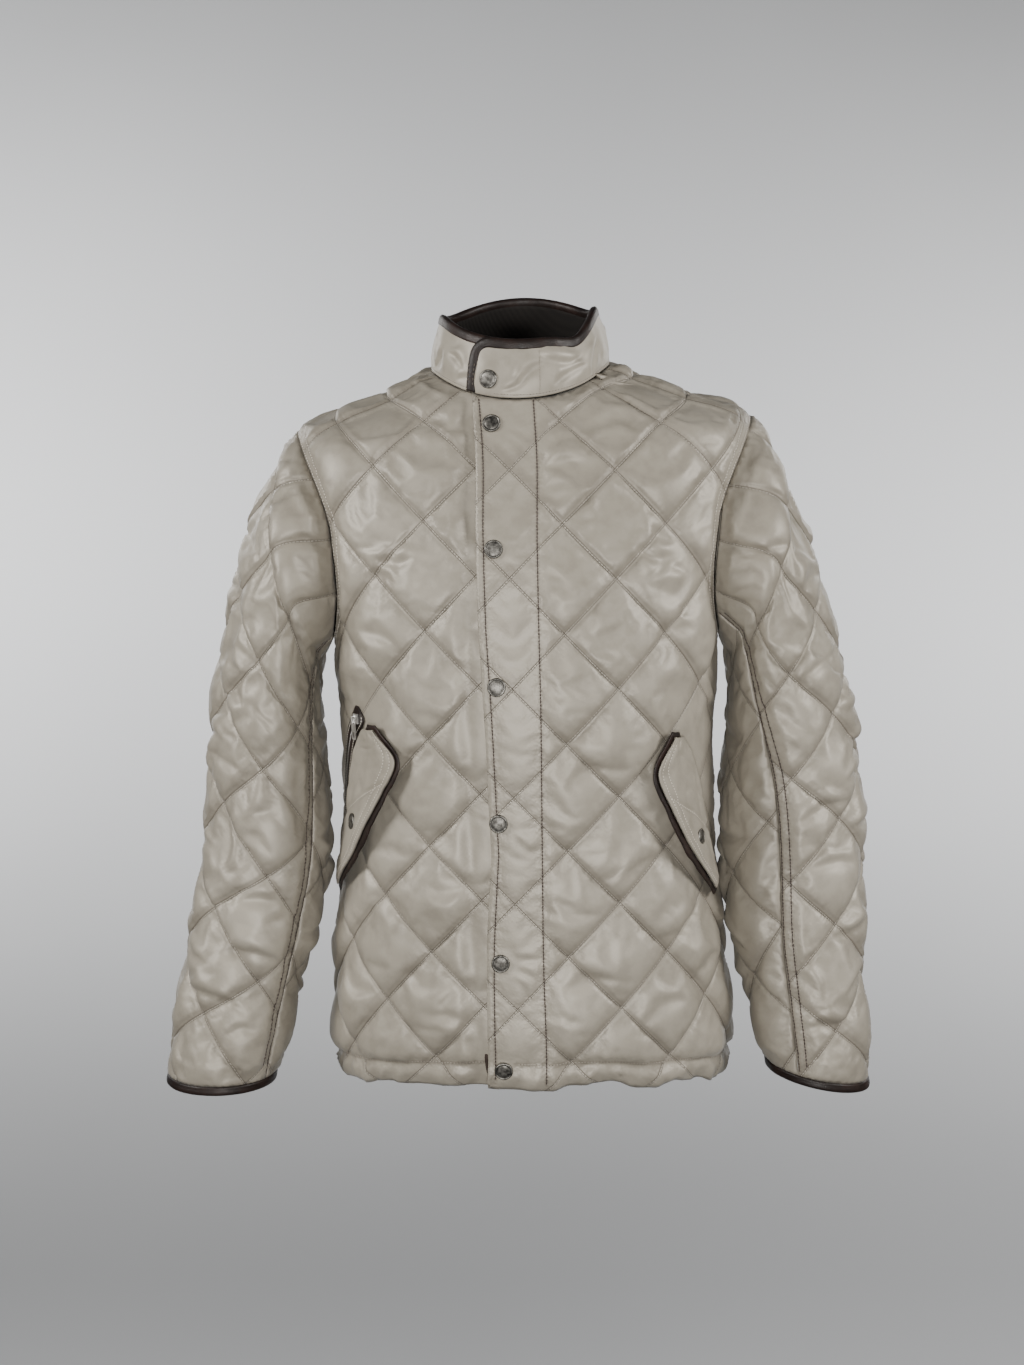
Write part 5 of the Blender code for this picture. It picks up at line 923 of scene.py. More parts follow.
def settle(pieces):
    for number in range(1, puff["frames"] + 1):
        bpy.context.scene.frame_set(number)
    graph = bpy.context.evaluated_depsgraph_get()
    for piece in pieces:
        start, moved = [np.zeros(len(piece.data.vertices) * 3) for _ in range(2)]
        piece.data.vertices.foreach_get("co", start)
        piece.evaluated_get(graph).data.vertices.foreach_get("co", moved)
        start, moved = start.reshape(-1, 3), moved.reshape(-1, 3)
        shift = moved - start
        length = np.maximum(np.linalg.norm(shift, axis=1, keepdims=True), 1e-9)
        shift *= puff["mostMove"] * np.tanh(length / puff["mostMove"]) / length
        piece.modifiers.remove(piece.modifiers["puff"])
        piece.vertex_groups.clear()
        piece.data.vertices.foreach_set("co", (start + shift).ravel())
        piece.data.update()
    bpy.context.scene.frame_set(1)


cloths = {}
for nodeName, panel in panels.items():
    piece = panel.build()
    addPuff(panel, piece)
    cloths[nodeName] = piece
    print("panel", panel.name, "vertices", len(piece.data.vertices), "area", round(panel.area, 4))
settle(list(cloths.values()))
print("panels settled")
for nodeName, piece in cloths.items():
    thicken(piece, 2.1 * mm)
    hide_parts(nodeName)
    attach(piece, "jacket")


# pieces laid onto a surface from a flat grid

def layGrid(columns, rows, lay, outward, layer=None):
    # lay turns grid places (0 to 1 each way) into points; outward gives one side's directions
    bm = bmesh.new()
    bmesh.ops.create_grid(bm, x_segments=columns, y_segments=rows, size=0.5)
    s = np.array([vert.co.x + 0.5 for vert in bm.verts])
    t = np.array([vert.co.y + 0.5 for vert in bm.verts])
    points = lay(s, t)
    marks = None if layer is None else layer(s, t)
    cloth = bm.verts.layers.float_vector.new("cloth")
    for k, vert in enumerate(bm.verts):
        vert.co = points[k]
        if marks is not None:
            vert[cloth] = marks[k]
    bm.normal_update()
    ways = outward(s, t)
    if sum(vert.normal.dot(Vector(way)) for vert, way in zip(bm.verts, ways)) < 0:
        bmesh.ops.reverse_faces(bm, faces=bm.faces)
    return bm


def closeTube(bm):
    # joins a grid's two long edges, and fills the ends if they are open
    bmesh.ops.remove_doubles(bm, verts=bm.verts, dist=1e-6)
    rims = [edge for edge in bm.edges if len(edge.link_faces) == 1]
    if rims:
        bmesh.ops.holes_fill(bm, edges=rims, sides=0)
    bmesh.ops.recalc_face_normals(bm, faces=bm.faces)
    return bm


def collarNormals(angles, heights):
    across = collarAt(angles + 0.4, heights) - collarAt(angles - 0.4, heights)
    along = collarAt(angles, heights + 0.01) - collarAt(angles, heights - 0.01)
    return unit(np.cross(across, along))


def collarTop(angles):
    t = np.clip(1.0 - (angles - collar["lapEdge"]) / collar["cornerAngle"], 0.0, 1.0)
    return collar["wallTop"] - collar["cornerHeight"] * (1.0 - np.sqrt(1.0 - t ** 2))


collarFolds = {"softHeight": 1.3 * mm, "fineHeight": 0.40 * mm, "perDegree": 1.45e-3}
creases["collarStand"] = (  # x round the collar from its lapped end, v up it
    (38, 14, 62, 34, 4, 3.5, 2.2), (56, 40, 96, 34, -5, 4.0, 2.6), (70, 12, 100, 24, 4, 4.0, 1.8),
    (26, 8, 44, 26, -3, 3.0, 1.8),
    (110, 8, 128, 36, 4, 4.5, 2.2), (136, 12, 150, 40, -4, 4.5, 2.0), (176, 10, 190, 38, 4, 5.0, 1.8),
    (232, 34, 262, 14, 4, 5.0, 1.8), (284, 12, 306, 36, -4, 5.0, 1.8), (330, 34, 352, 12, 4, 5.0, 1.8),
    (392, 10, 410, 36, -4, 4.5, 2.0), (436, 36, 452, 10, 4, 4.0, 2.4), (462, 8, 474, 30, -3, 3.5, 2.6),
    (486, 30, 506, 20, 3, 3.5, 2.4), (500, 8, 520, 14, 3, 3.0, 1.8))


def collarAngles(s):
    return collar["lapEdge"] + (collar["underEnd"] - collar["lapEdge"]) * s


def layCollar(s, t):
    angles = collarAngles(s)
    heights = collarTop(angles) * t
    outward, up = collarDirections(angles)
    levels = np.full(len(angles), shape["neckV"])
    wrapped = np.mod(angles + 180.0, 360.0) - 180.0
    slope = unit(bodyAt(wrapped, levels) - bodyAt(wrapped, levels - 0.004))
    ring = unit(np.cross(up, outward))
    bodyNormal = unit(np.cross(slope, -ring))
    bodyNormal = bodyNormal * np.sign((bodyNormal * outward).sum(axis=1))[:, None]
    mitre = unit(outward + bodyNormal)
    foot = np.clip(1.0 - 3.0 * t, 0.0, 1.0)
    lapped = smooth(82.0, 55.0, angles) + smooth(325.0, 340.0, angles)
    shift = up * ((shape["seamGap"] + collar["lapRoom"] * lapped) * foot)[:, None]
    normals = unit(collarNormals(angles, heights) * (1 - foot)[:, None] + mitre * foot[:, None])
    flatEnd = smooth(330.0, 312.0, angles)
    puff = 1.2 * mm * np.sin(np.pi * t) * flatEnd * (1.0 + 0.6 * np.cos(np.radians(angles * 7)))
    x = angles * collarFolds["perDegree"]
    h = heights * collar["height"]
    slanted = noise(x / 16e-3 + h / 30e-3, h / 34e-3, 51) + 0.5 * noise(x / 9e-3 - h / 22e-3, h / 24e-3, 52)
    fine = noise(x / 4.5e-3, h / 12e-3,
                 53) * (np.exp(-h / 7e-3) + np.exp(-(collar["height"] * 0.86 - h) / 6e-3))
    ends = np.sin(np.pi * np.clip(t, 0, 1)) ** 0.5
    height = puff + collarFolds["softHeight"] * slanted * ends * flatEnd + collarFolds["fineHeight"] * fine
    creased = creaseHeight("collarStand", (angles - collar["lapEdge"]) * collarFolds["perDegree"], h)
    height = height + creased * (0.35 + 0.65 * flatEnd)
    return collarAt(angles, heights) + shift + normals * (collar["wall"] + np.maximum(height, -0.6 * mm))[:,
                                                                                                          None]


def collarOut(s, t):
    return collarNormals(collarAngles(s), np.clip(t, 0.02, 0.98))


def dress(piece, nodes, thickness=None):
    # the calls that every cloth or leather piece needs
    if thickness:
        thicken(piece, thickness)
    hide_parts(*nodes)
    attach(piece, "jacket")
    cloths[nodes[0]] = piece


collarPiece = finished("collarStand", layGrid(300, 34, layCollar, collarOut,
                       lambda s, t: np.column_stack([s * 8.0, t, np.minimum(t, 1 - t) * 50])))
dress(collarPiece, ["collar"], thickness=3.9 * mm)


liningShape = {"start": 9.0, "short": 10.0, "foot": 0.03, "inset": 0.8 * mm + 1.1 * mm}


def liningAngles(s):
    return liningShape["start"] + (collar["underEnd"] - liningShape["short"]) * s


def layLining(s, t):
    angles = liningAngles(s)
    heights = liningShape["foot"] + (collar["wallTop"] - liningShape["foot"]) * t
    ripple = 0.3 * mm * noise(s * 46, t * 2.2, 61) * np.sin(np.pi * t)
    return collarAt(angles, heights) + collarNormals(angles, heights) * (-liningShape["inset"] - ripple)[:,
                                                                                                         None]


lining = finished("collarLining", layGrid(240, 14, layLining,
                                          lambda s, t: -collarNormals(liningAngles(s),
                                                                      liningShape["foot"] + 0.8 * t),
                                          lambda s, t: np.column_stack([s, t, t])))
dress(lining, ["collar_facing"],
      thickness=1.0 * mm)


# leather bindings

binding = {"collarOut": (1.9 * mm, 4.1 * mm), "collarAway": (1.9 * mm, 5.6 * mm), "grooveAway": -0.6 * mm,
           "cuffOut": (1.7 * mm, 2.9 * mm), "cuffAway": (4.1 * mm, 4.9 * mm), "cuffGroove": 3.0 * mm,
           "roundness": 2.8, "grooveDepth": 0.55 * mm, "endWidening": 2.1 * mm}


def bindingSection(turns, out, away, groove):
    # a rounded strip wrapped over an edge, with the groove that its stitches pull in
    c, s = np.cos(2 * np.pi * turns), np.sin(2 * np.pi * turns)
    power = 2.0 / binding["roundness"]
    outs = out[0] + out[1] * np.sign(c) * np.abs(c) ** power
    aways = away[0] + away[1] * np.sign(s) * np.abs(s) ** power
    pull = np.exp(-(((aways - groove) / (0.8 * mm)) ** 2)) * np.abs(c)
    return outs - np.sign(c) * pull * binding["grooveDepth"], aways


def collarRoute():
    last = collar["lapEdge"] + collar["cornerAngle"]
    rows = [(angle, collar["wallTop"], 0.0, 1.0) for angle in np.linspace(collar["underEnd"] - 1.0, last,
                                                                          230)]
    for swing in np.radians(np.linspace(10.0, 90.0, 9)):
        rows.append((collar["lapEdge"] + collar["cornerAngle"] * (1 - math.sin(swing)),
                     collar["wallTop"] - collar["cornerHeight"] * (1 - math.cos(swing)),
                     -math.sin(swing), math.cos(swing)))
    for level in np.linspace(collar["wallTop"] - collar["cornerHeight"], collar["foot"], 18)[1:]:
        rows.append((collar["lapEdge"], level, -1.0, 0.0))
    return np.array(rows)


route = collarRoute()
routeShare = np.linspace(0.0, 1.0, len(route))


def onRoute(s, out, away):
    away = away + binding["endWidening"] * smooth(0.90, 0.955, s)
    angle, level, outAngle, outLevel = [np.interp(s, routeShare, route[:, k]) for k in range(4)]
    here = collarAt(angle, level)
    reach = 0.5 * mm
    there = collarAt(angle + np.degrees(outAngle * reach / (85 * mm)),
                     level + outLevel * reach / collar["height"])
    return here + collarNormals(angle, level) * out[:, None] + unit(there - here) * away[:, None]


def layRim(s, t):
    out, away = bindingSection(t, binding["collarOut"], binding["collarAway"], binding["grooveAway"])
    swell = 1.0 + 0.05 * noise(s * 90, t * 0, 71)
    return onRoute(s, binding["collarOut"][0] + (out - binding["collarOut"][0]) * swell, away)


rimOut = lambda s, t: layRim(s, t) - onRoute(s, np.full(len(s), binding["collarOut"][0]),
                                             np.full(len(s), 3.6 * mm))
collarEdge = finished("collarBinding", closeTube(layGrid(len(route) - 1, 28, layRim, rimOut,
                      lambda s, t: np.column_stack([s * 160, t, t]))))
dress(collarEdge, ["collar_binding"])

for word, side, rings in (("Left", 1, leftSleeveTable), ("Right", -1, rightSleeveTable)):
    at = sleeveSurface(armholes[side], rings)

    def cuffFrame(s, side=side, at=at):
        turn = s * 360.0
        ends = at(turn, np.ones(len(turn)))
        down = unit(ends - at(turn, np.full(len(turn), 0.97)))
        across = at(turn + 0.5, np.ones(len(turn))) - at(turn - 0.5, np.ones(len(turn)))
        return ends, unit(np.cross(across, -down)) * -side, down

    def layCuff(s, t, frameOf=cuffFrame, side=side):
        ends, normals, down = frameOf(s)
        out, away = bindingSection(t, binding["cuffOut"], binding["cuffAway"], binding["cuffGroove"])
        swell = 0.25 * mm * noise(s * 26, t * 0, 72 + side)
        return ends + normals * (out + swell)[:, None] + down * away[:, None]

    outside = cuffFrame(np.array([0.0, 0.25]))[1]
    assert outside[0][0] * side > 0, "a cuff's normals point inwards"
    cuff = finished(f"cuffBinding{word}", closeTube(layGrid(150, 28, layCuff,
                                                            lambda s, t: cuffFrame(s)[1] * 0,
                    lambda s, t: np.column_stack([s * 80, t, t]))))
    dress(cuff, [f"cuff_binding_{word.lower()}"])
print("collar and bindings ready")


# pocket flaps, the zip's facing, and the tape

leftFlapTable = (  # sewn angle, sewn z, free angle, free z, how far the free edge stands off
    (53.5, -0.3575, 50.0, -0.3540, 0.012),
    (58.5, -0.3820, 44.0, -0.3880, 0.014),
    (63.5, -0.4200, 49.0, -0.4250, 0.018),
    (66.5, -0.4550, 55.5, -0.4600, 0.021),
    (71.0, -0.4900, 63.5, -0.4930, 0.021),
    (76.0, -0.5170, 72.0, -0.5210, 0.019),
)
rightFlapTable = (
    (-57.8, -0.3510, -53.5, -0.3480, 0.012),
    (-62.8, -0.3730, -45.5, -0.3760, 0.014),
    (-67.5, -0.4080, -51.0, -0.4110, 0.018),
    (-70.5, -0.4420, -58.5, -0.4460, 0.022),
    (-76.0, -0.4800, -67.5, -0.4860, 0.023),
    (-85.0, -0.5200, -81.5, -0.5240, 0.022),
)
facingTable = (  # z, outer angle, inner angle
    (-0.4560, -77.4, -75.2),
    (-0.4380, -79.0, -72.4),
    (-0.4120, -77.8, -70.2),
    (-0.3860, -75.2, -67.2),
    (-0.3620, -71.2, -63.4),
    (-0.3420, -66.0, -58.8),
    (-0.3300, -62.8, -61.4),
)
flap = {"rows": 72, "columns": 30, "across": 34 * mm, "rowInsets": (3.0 * mm, 7.5 * mm), "wall": 2.6 * mm,
        "leatherWall": 1.4 * mm, "leatherEdgeAndShadowGap": 6.5 * mm, "facingOut": 1.2 * mm, "tapeOut": 0.9 * mm,
        "liftLeft": 4.594 * mm, "liftRight": 5.225 * mm, "facingLift": 3.558 * mm, "tapeLift": 2.894 * mm}


def levelAt(angles, heights):
    # the body level at which each angle's line passes a height z
    levels = np.linspace(0.0, shape["neckV"], 171)
    found = []
    for angle, z in zip(angles, heights):
        found.append(np.interp(z, bodyAt(np.full(171, angle), levels)[:, 2], levels))
    return np.array(found)


class Flap:
    def __init__(self, rows, lift):
        table = np.column_stack([np.linspace(0, 1, len(rows)), np.array(rows)])
        fine = throughRows(table, np.linspace(0, 1, flap["rows"] + 1))
        sewnAngle, sewnZ, freeAngle, freeZ, stand = fine.T
        sewnW, freeW = levelAt(sewnAngle, sewnZ), levelAt(freeAngle, freeZ)
        sewn = bodyAt(sewnAngle, sewnW) + frontMap.normals(sewnAngle, sewnW) * lift
        free = bodyAt(freeAngle, freeW) + frontMap.normals(freeAngle, freeW) * lift
        free[:, 1] -= stand
        share = np.linspace(0.0, 1.0, flap["columns"] + 1)[None, :, None]
        under = sewn[:, None] * (1 - share) + free[:, None] * share
        normals = unit(np.cross(np.gradient(under, axis=0), np.gradient(under, axis=1)))
        if normals[len(under) // 2, 1, 1] > 0:
            normals = -normals
        self.under = under + normals * np.sin(np.pi * share) * 1.5 * mm
        self.normals = normals

    def read(self, field, s, t):
        i = np.clip(s, 0, 1) * flap["rows"]
        j = np.clip(t, 0, 1) * flap["columns"]
        i0 = np.minimum(i.astype(int), flap["rows"] - 1)
        j0 = np.minimum(j.astype(int), flap["columns"] - 1)
        a, b = (i - i0)[:, None], (j - j0)[:, None]
        return bilinear(field, i0, j0, a, b)

    def size(self):
        length = np.linalg.norm(np.diff(self.under[:, flap["columns"] // 2], axis=0), axis=1).sum()
        width = np.linalg.norm(self.under[:, -1] - self.under[:, 0], axis=1)
        return float(length), float(width.max()), float(length * width.mean())

    def place(self, s, t, height, grow=0.0):
        points, normals = self.read(self.under, s, t), self.read(self.normals, s, t)
        # grow widens the dark leather past the flap's free edge and ends: partly the leather's real rim,
        # partly a dark band standing in for the shadow gap under the flap
        if grow:
            grow = grow * (0.7 + 0.9 * smooth(0.25, 0.7, s) - 0.6 * smooth(0.85, 1.0, s)
                           + 0.22 * noise(s * 15, s * 0, 93))
            side = unit(self.read(self.under, s, np.ones(len(s))) - self.read(self.under, s,
                                                                              np.full(len(s), 0.9)))
            along = unit(self.read(self.under, np.clip(s + 0.01, 0, 1), t)
                         - self.read(self.under, np.clip(s - 0.01, 0, 1), t))
            points = points + side * (grow * smooth(0.93, 1.0, t))[:, None]
            points = points + along * (grow * (smooth(0.985, 1.0, s) - smooth(0.015, 0.0, s)))[:, None]
        return points + unit(normals) * np.reshape(height, (-1, 1))


def flapHeight(s, t, seed):
    edge = np.minimum(np.minimum(s, 1 - s) * 4.0, 1 - t)
    puff = 2.0 * mm * np.clip(edge / 0.3, 0, 1) ** 0.6
    line = np.abs((s - 0.47) * 1.9 + (t - 0.5) * 0.55)
    puff = puff * (1 - 0.85 * np.exp(-(line / 0.035) ** 2))
    wrinkle = 0.6 * mm * noise(s * 13, t * 5, seed) + 0.35 * mm * noise(s * 30 + t * 6, t * 9, seed + 1)
    fold = (1 - np.abs(noise(s * 6 + t * 1.5, t * 2.6 - s * 2, seed + 2))) ** 6
    inset = (1 - t) * flap["across"]
    rows = sum(np.exp(-(((inset - row) / (1.0 * mm)) ** 2)) for row in flap["rowInsets"])
    return (flap["wall"] + puff + (wrinkle - 1.3 * mm * fold) * np.clip(edge / 0.12, 0, 1)
            - 0.6 * mm * rows * np.clip(edge / 0.05, 0, 1))


flaps = {}
for word, table, lift, panelNode in (("Left", leftFlapTable, flap["liftLeft"], "frontLeft"),
                                     ("Right", rightFlapTable, flap["liftRight"], "frontRight")):
    shapeOf = Flap(table, lift)
    flaps[word] = shapeOf
    seed = 81 if word == "Left" else 85
    top = layGrid(96, 44, lambda s, t, f=shapeOf, k=seed: f.place(s, t, flapHeight(s, t, k)),
                  lambda s, t, f=shapeOf: f.read(f.normals, s, t),
                  lambda s, t: np.column_stack([s * 2.2, t,
                                                np.minimum(np.minimum(s, 1 - s) * 160, (1 - t) * 60)]))
    length, width, area = shapeOf.size()
    dress(finished(f"pocketFlap{word}", top), [f"pocket_flap_{word.lower()}"],
          thickness=2.4 * mm)
    # the leather under each flap is grown past its edge: its real rim, plus a dark band that stands in for the
    # shadow gap under the free edge
    under = layGrid(110, 40,
                    lambda s, t, f=shapeOf: f.place(s, t, -0.3 * mm + 0.25 * mm * noise(s * 22, t * 6, 90),
                                                    grow=flap["leatherEdgeAndShadowGap"]),
                    lambda s, t, f=shapeOf: f.read(f.normals, s, t),
                    lambda s, t: np.column_stack([s * 3, t, t]))
    dress(finished(f"flapLeather{word}", under), [f"flap_leather_{word.lower()}"],
          thickness=flap["leatherWall"])


def facingPlace(s, t):
    z = facingTable[0][0] + (facingTable[-1][0] - facingTable[0][0]) * s
    outer, inner = throughRows(facingTable, z).T
    angles = outer + (inner - outer) * t
    return angles, levelAt(angles, z)


def facingOut(s, t):
    return frontMap.normals(*facingPlace(s, t))


def layFacing(s, t):
    bump = 0.2 * mm * noise(s * 20, t * 4, 95)
    return bodyAt(*facingPlace(s, t)) + facingOut(s, t) * (flap["facingLift"] + flap["facingOut"] + bump)[:,
                                                                                                          None]


facing = finished("zipFacing", layGrid(70, 16, layFacing, facingOut,
                                       lambda s, t: np.column_stack([s * 2, t, t])))
dress(facing, ["zip_facing"],
      thickness=1.1 * mm)

tape = {"x": (-0.0496, -0.0460), "v": (-0.694, -0.646)}


def layTape(s, t):
    x = tape["x"][1] - (tape["x"][1] - tape["x"][0]) * (1 - t) * np.sin(np.pi * (0.06 + 0.88 * s)) ** 0.7
    v = tape["v"][0] + (tape["v"][1] - tape["v"][0]) * s
    u, w = frontMap.find(x, v)
    return frontMap.at(u, w) + frontMap.normals(u, w) * (flap["tapeLift"] + flap["tapeOut"])


def tapeOut(s, t):
    return np.tile([0.0, -1.0, 0.0], (len(s), 1))


dress(finished("frontZipTape", layGrid(24, 5, layTape, tapeOut,
                                       lambda s, t: np.column_stack([s, t, t]))),
      ["front_zip_tape"],
      thickness=0.85 * mm)


# snaps

snapPlaces = {  # centre of the seat, the direction it faces, and the cap's size
    "snap_1": ((-0.035647, -0.089109, -0.005105), (-0.30862, -0.95041, 0.03816), 1.0),
    "snap_2": ((-0.032553, -0.099121, -0.048340), (-0.07096, -0.89813, 0.43397), 1.0),
    "snap_3": ((-0.030209, -0.141624, -0.168104), (-0.04518, -0.97147, 0.23281), 1.0),
    "snap_4": ((-0.027439, -0.160593, -0.300757), (-0.06171, -0.99630, 0.05962), 1.0),
    "snap_5": ((-0.025552, -0.159430, -0.436164), (-0.06248, -0.99792, -0.01561), 1.0),
    "snap_6": ((-0.023588, -0.160629, -0.577040), (-0.05572, -0.99844, -0.00085), 1.0),
    "snap_7": ((-0.020510, -0.162076, -0.686748), (-0.04971, -0.98249, -0.17936), 1.0),
    "flap_snap_left": ((0.177329, -0.103230, -0.460860), (0.90716, -0.38076, 0.17912), 0.9),
    "flap_snap_right": ((-0.173666, -0.093197, -0.447826), (-0.93476, -0.32714, 0.13854), 0.9),
}
snap = {"radius": 8.8 * mm, "segments": 64,
        "profile": ((0.0, 0.01), (0.70, 0.0), (0.94, 0.02), (1.00, 0.06), (1.00, 0.13), (0.975, 0.20),
                    (0.93, 0.255),
                    (0.875, 0.27), (0.82, 0.25), (0.785, 0.212), (0.74, 0.205), (0.70, 0.222), (0.60, 0.258),
                    (0.45, 0.282), (0.25, 0.296), (0.0, 0.30))}


def snapCap(name, seat, facingWay, scale):
    bm = bmesh.new()
    size = snap["radius"] * scale * 1.05
    verts = [bm.verts.new((r * size, 0.0, h * size)) for r, h in snap["profile"]]
    edges = [bm.edges.new(pair) for pair in zip(verts, verts[1:])]
    bmesh.ops.spin(bm, geom=verts + edges, cent=(0, 0, 0), axis=(0, 0, 1), angle=2 * math.pi,
                   steps=snap["segments"], use_merge=True, use_duplicate=False)
    bmesh.ops.remove_doubles(bm, verts=bm.verts, dist=1e-6)
    bmesh.ops.recalc_face_normals(bm, faces=bm.faces)
    layer = bm.verts.layers.float_vector.new("cloth")
    for vert in bm.verts:
        vert[layer] = (vert.co.xy.length / size, math.atan2(vert.co.y, vert.co.x) / math.tau + 0.5,
                       vert.co.z / size)
    turn = Vector(facingWay).to_track_quat("Z", "Y").to_matrix().to_4x4()
    bm.transform(Matrix.Translation(Vector(seat)) @ turn)
    return finished(name, bm)


snaps = []
for node, (seat, way, scale) in snapPlaces.items():
    piece = snapCap(node.replace("_", " ").title().replace(" ", "") + "Cap", seat, way, scale)
    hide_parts(node)
    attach(piece, "jacket")
    snaps.append(piece)
print("flaps, facing, tape and snaps ready")


# stitch rows: small capsules laid along a line

holeSize = (0.50 * mm, 0.42 * mm, 0.20 * mm)


def stitchRow(name, points, normals, material, radius, length, pitch, sink, holes=None):
    run = lengthsAlong(points)
    bm = bmesh.new()
    for middle in np.arange(pitch, run[-1] - pitch / 2, pitch):
        ends = [np.array([np.interp(middle + half, run, points[:, k]) for k in range(3)])
                for half in (-length / 2, length / 2)]
        normal = Vector([np.interp(middle, run, normals[:, k]) for k in range(3)]).normalized()
        along = Vector(ends[1] - ends[0])
        size = along.length
        along.normalize()
        side = normal.cross(along).normalized()
        normal = along.cross(side)
        turn = Matrix((along, side, normal)).transposed().to_4x4()
        place = Matrix.Translation(Vector((ends[0] + ends[1]) / 2) - normal * sink) @ turn
        grown = place @ Matrix.Diagonal((size * 0.56, radius, radius, 1.0))
        bmesh.ops.create_uvsphere(bm, u_segments=6, v_segments=5, radius=1.0,
                                  matrix=grown @ Matrix.Rotation(math.pi / 2, 4, "Y"))
        if holes:
            hole = place @ Matrix.Translation((pitch / 2, 0.0, sink * 0.8)) @ Matrix.Diagonal((*holeSize,
                                                                                               1.0))
            dots = bmesh.ops.create_uvsphere(bm, u_segments=6, v_segments=4, radius=1.0, matrix=hole)
            for face in {face for vert in dots["verts"] for face in vert.link_faces}:
                face.material_index = 1
    piece = finished(name, bm)
    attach(piece, "jacket")
    piece.data.materials.append(material)
    if holes:
        piece.data.materials.append(holes)
    return piece


# materials

class Shade:
    # a shader value: its maths makes Math nodes
    def __init__(self, tree, socket):
        self.tree, self.socket = tree, socket

    def maths(self, operation, *values):
        return node(self.tree, "ShaderNodeMath", {"operation": operation}, dict(enumerate(values)))

    def of(self, operation):
        return self.maths(operation, self)

    def __add__(self, other):
        return self.maths("ADD", self, other)

    def __sub__(self, other):
        return self.maths("SUBTRACT", self, other)

    def __rsub__(self, other):
        return self.maths("SUBTRACT", other, self)

    def __mul__(self, other):
        return self.maths("MULTIPLY", self, other)

    def __truediv__(self, other):
        return self.maths("DIVIDE", self, other)

    def __abs__(self):
        return self.of("ABSOLUTE")

    __radd__, __rmul__ = __add__, __mul__


def node(tree, kind, settings=None, values=None, output=0):
    # makes a node: its settings first, then its sockets' values or links
    made = tree.nodes.new(kind)
    for key, value in (settings or {}).items():
        if key == "stops":
            made.color_ramp.interpolation = "B_SPLINE"
            ramp = made.color_ramp.elements
            for k, (place, colour) in enumerate(value):
                stop = ramp[k] if k < 2 else ramp.new(place)
                stop.position, stop.color = place, (*colour, 1.0)
        else:
            setattr(made, key, value)
    for key, value in (values or {}).items():
        if isinstance(value, Shade):
            tree.links.new(value.socket, made.inputs[key])
        else:
            made.inputs[key].default_value = value
    return Shade(tree, made.outputs[output])


def material(name, **constants):
    made = bpy.data.materials.new(name)
    made.use_nodes = True
    shader = made.node_tree.nodes["Principled BSDF"]
    for key, value in constants.items():
        shader.inputs[key.replace("_", " ")].default_value = value
    return made, made.node_tree, shader


def feed(tree, shader, key, value):
    tree.links.new(value.socket, shader.inputs[key])


def noiseOf(tree, vector, scale, detail=2.0, roughness=0.5):
    return node(tree, "ShaderNodeTexNoise", {},
                {"Vector": vector, "Scale": scale, "Detail": detail, "Roughness": roughness})


def mixColour(tree, share, first, second):
    # sockets 6 and 7 of a colour Mix are A and B, and its third output is the colour
    return node(tree, "ShaderNodeMix", {"data_type": "RGBA"}, {0: share, 6: first, 7: second}, output=2)


def scaled(tree, vector, factors):
    return node(tree, "ShaderNodeVectorMath", {"operation": "MULTIPLY"}, {0: vector, 1: factors})


def joined(tree, x, y, z=0.0):
    return node(tree, "ShaderNodeCombineXYZ", {}, {0: x, 1: y, 2: z})


def stepped(tree, value, low, high):
    return node(tree, "ShaderNodeMapRange", {"interpolation_type": "SMOOTHSTEP"},
                {"Value": value, "From Min": low, "From Max": high})


def bumped(tree, height, distance):
    return node(tree, "ShaderNodeBump", {}, {"Strength": 1.0, "Distance": distance, "Height": height})


# dark is the cloth's darker tone, and also the colour of the painted shade on pillow slopes and in the stitch
# grooves
nylon = {"colour": (0.335, 0.303, 0.248, 1.0), "light": (0.385, 0.350, 0.290, 1.0),
         "dark": (0.095, 0.075, 0.058, 1.0),
         "thread": (0.600, 0.555, 0.470, 1.0), "stitchPitch": 3.4 * mm, "stitchWidth": 0.62 * mm,
         "puckerPitch": 4.6 * mm, "puckerReach": 8.0 * mm, "roughness": 0.47, "satin": 0.13, "paintedSlopeShade": 0.20}


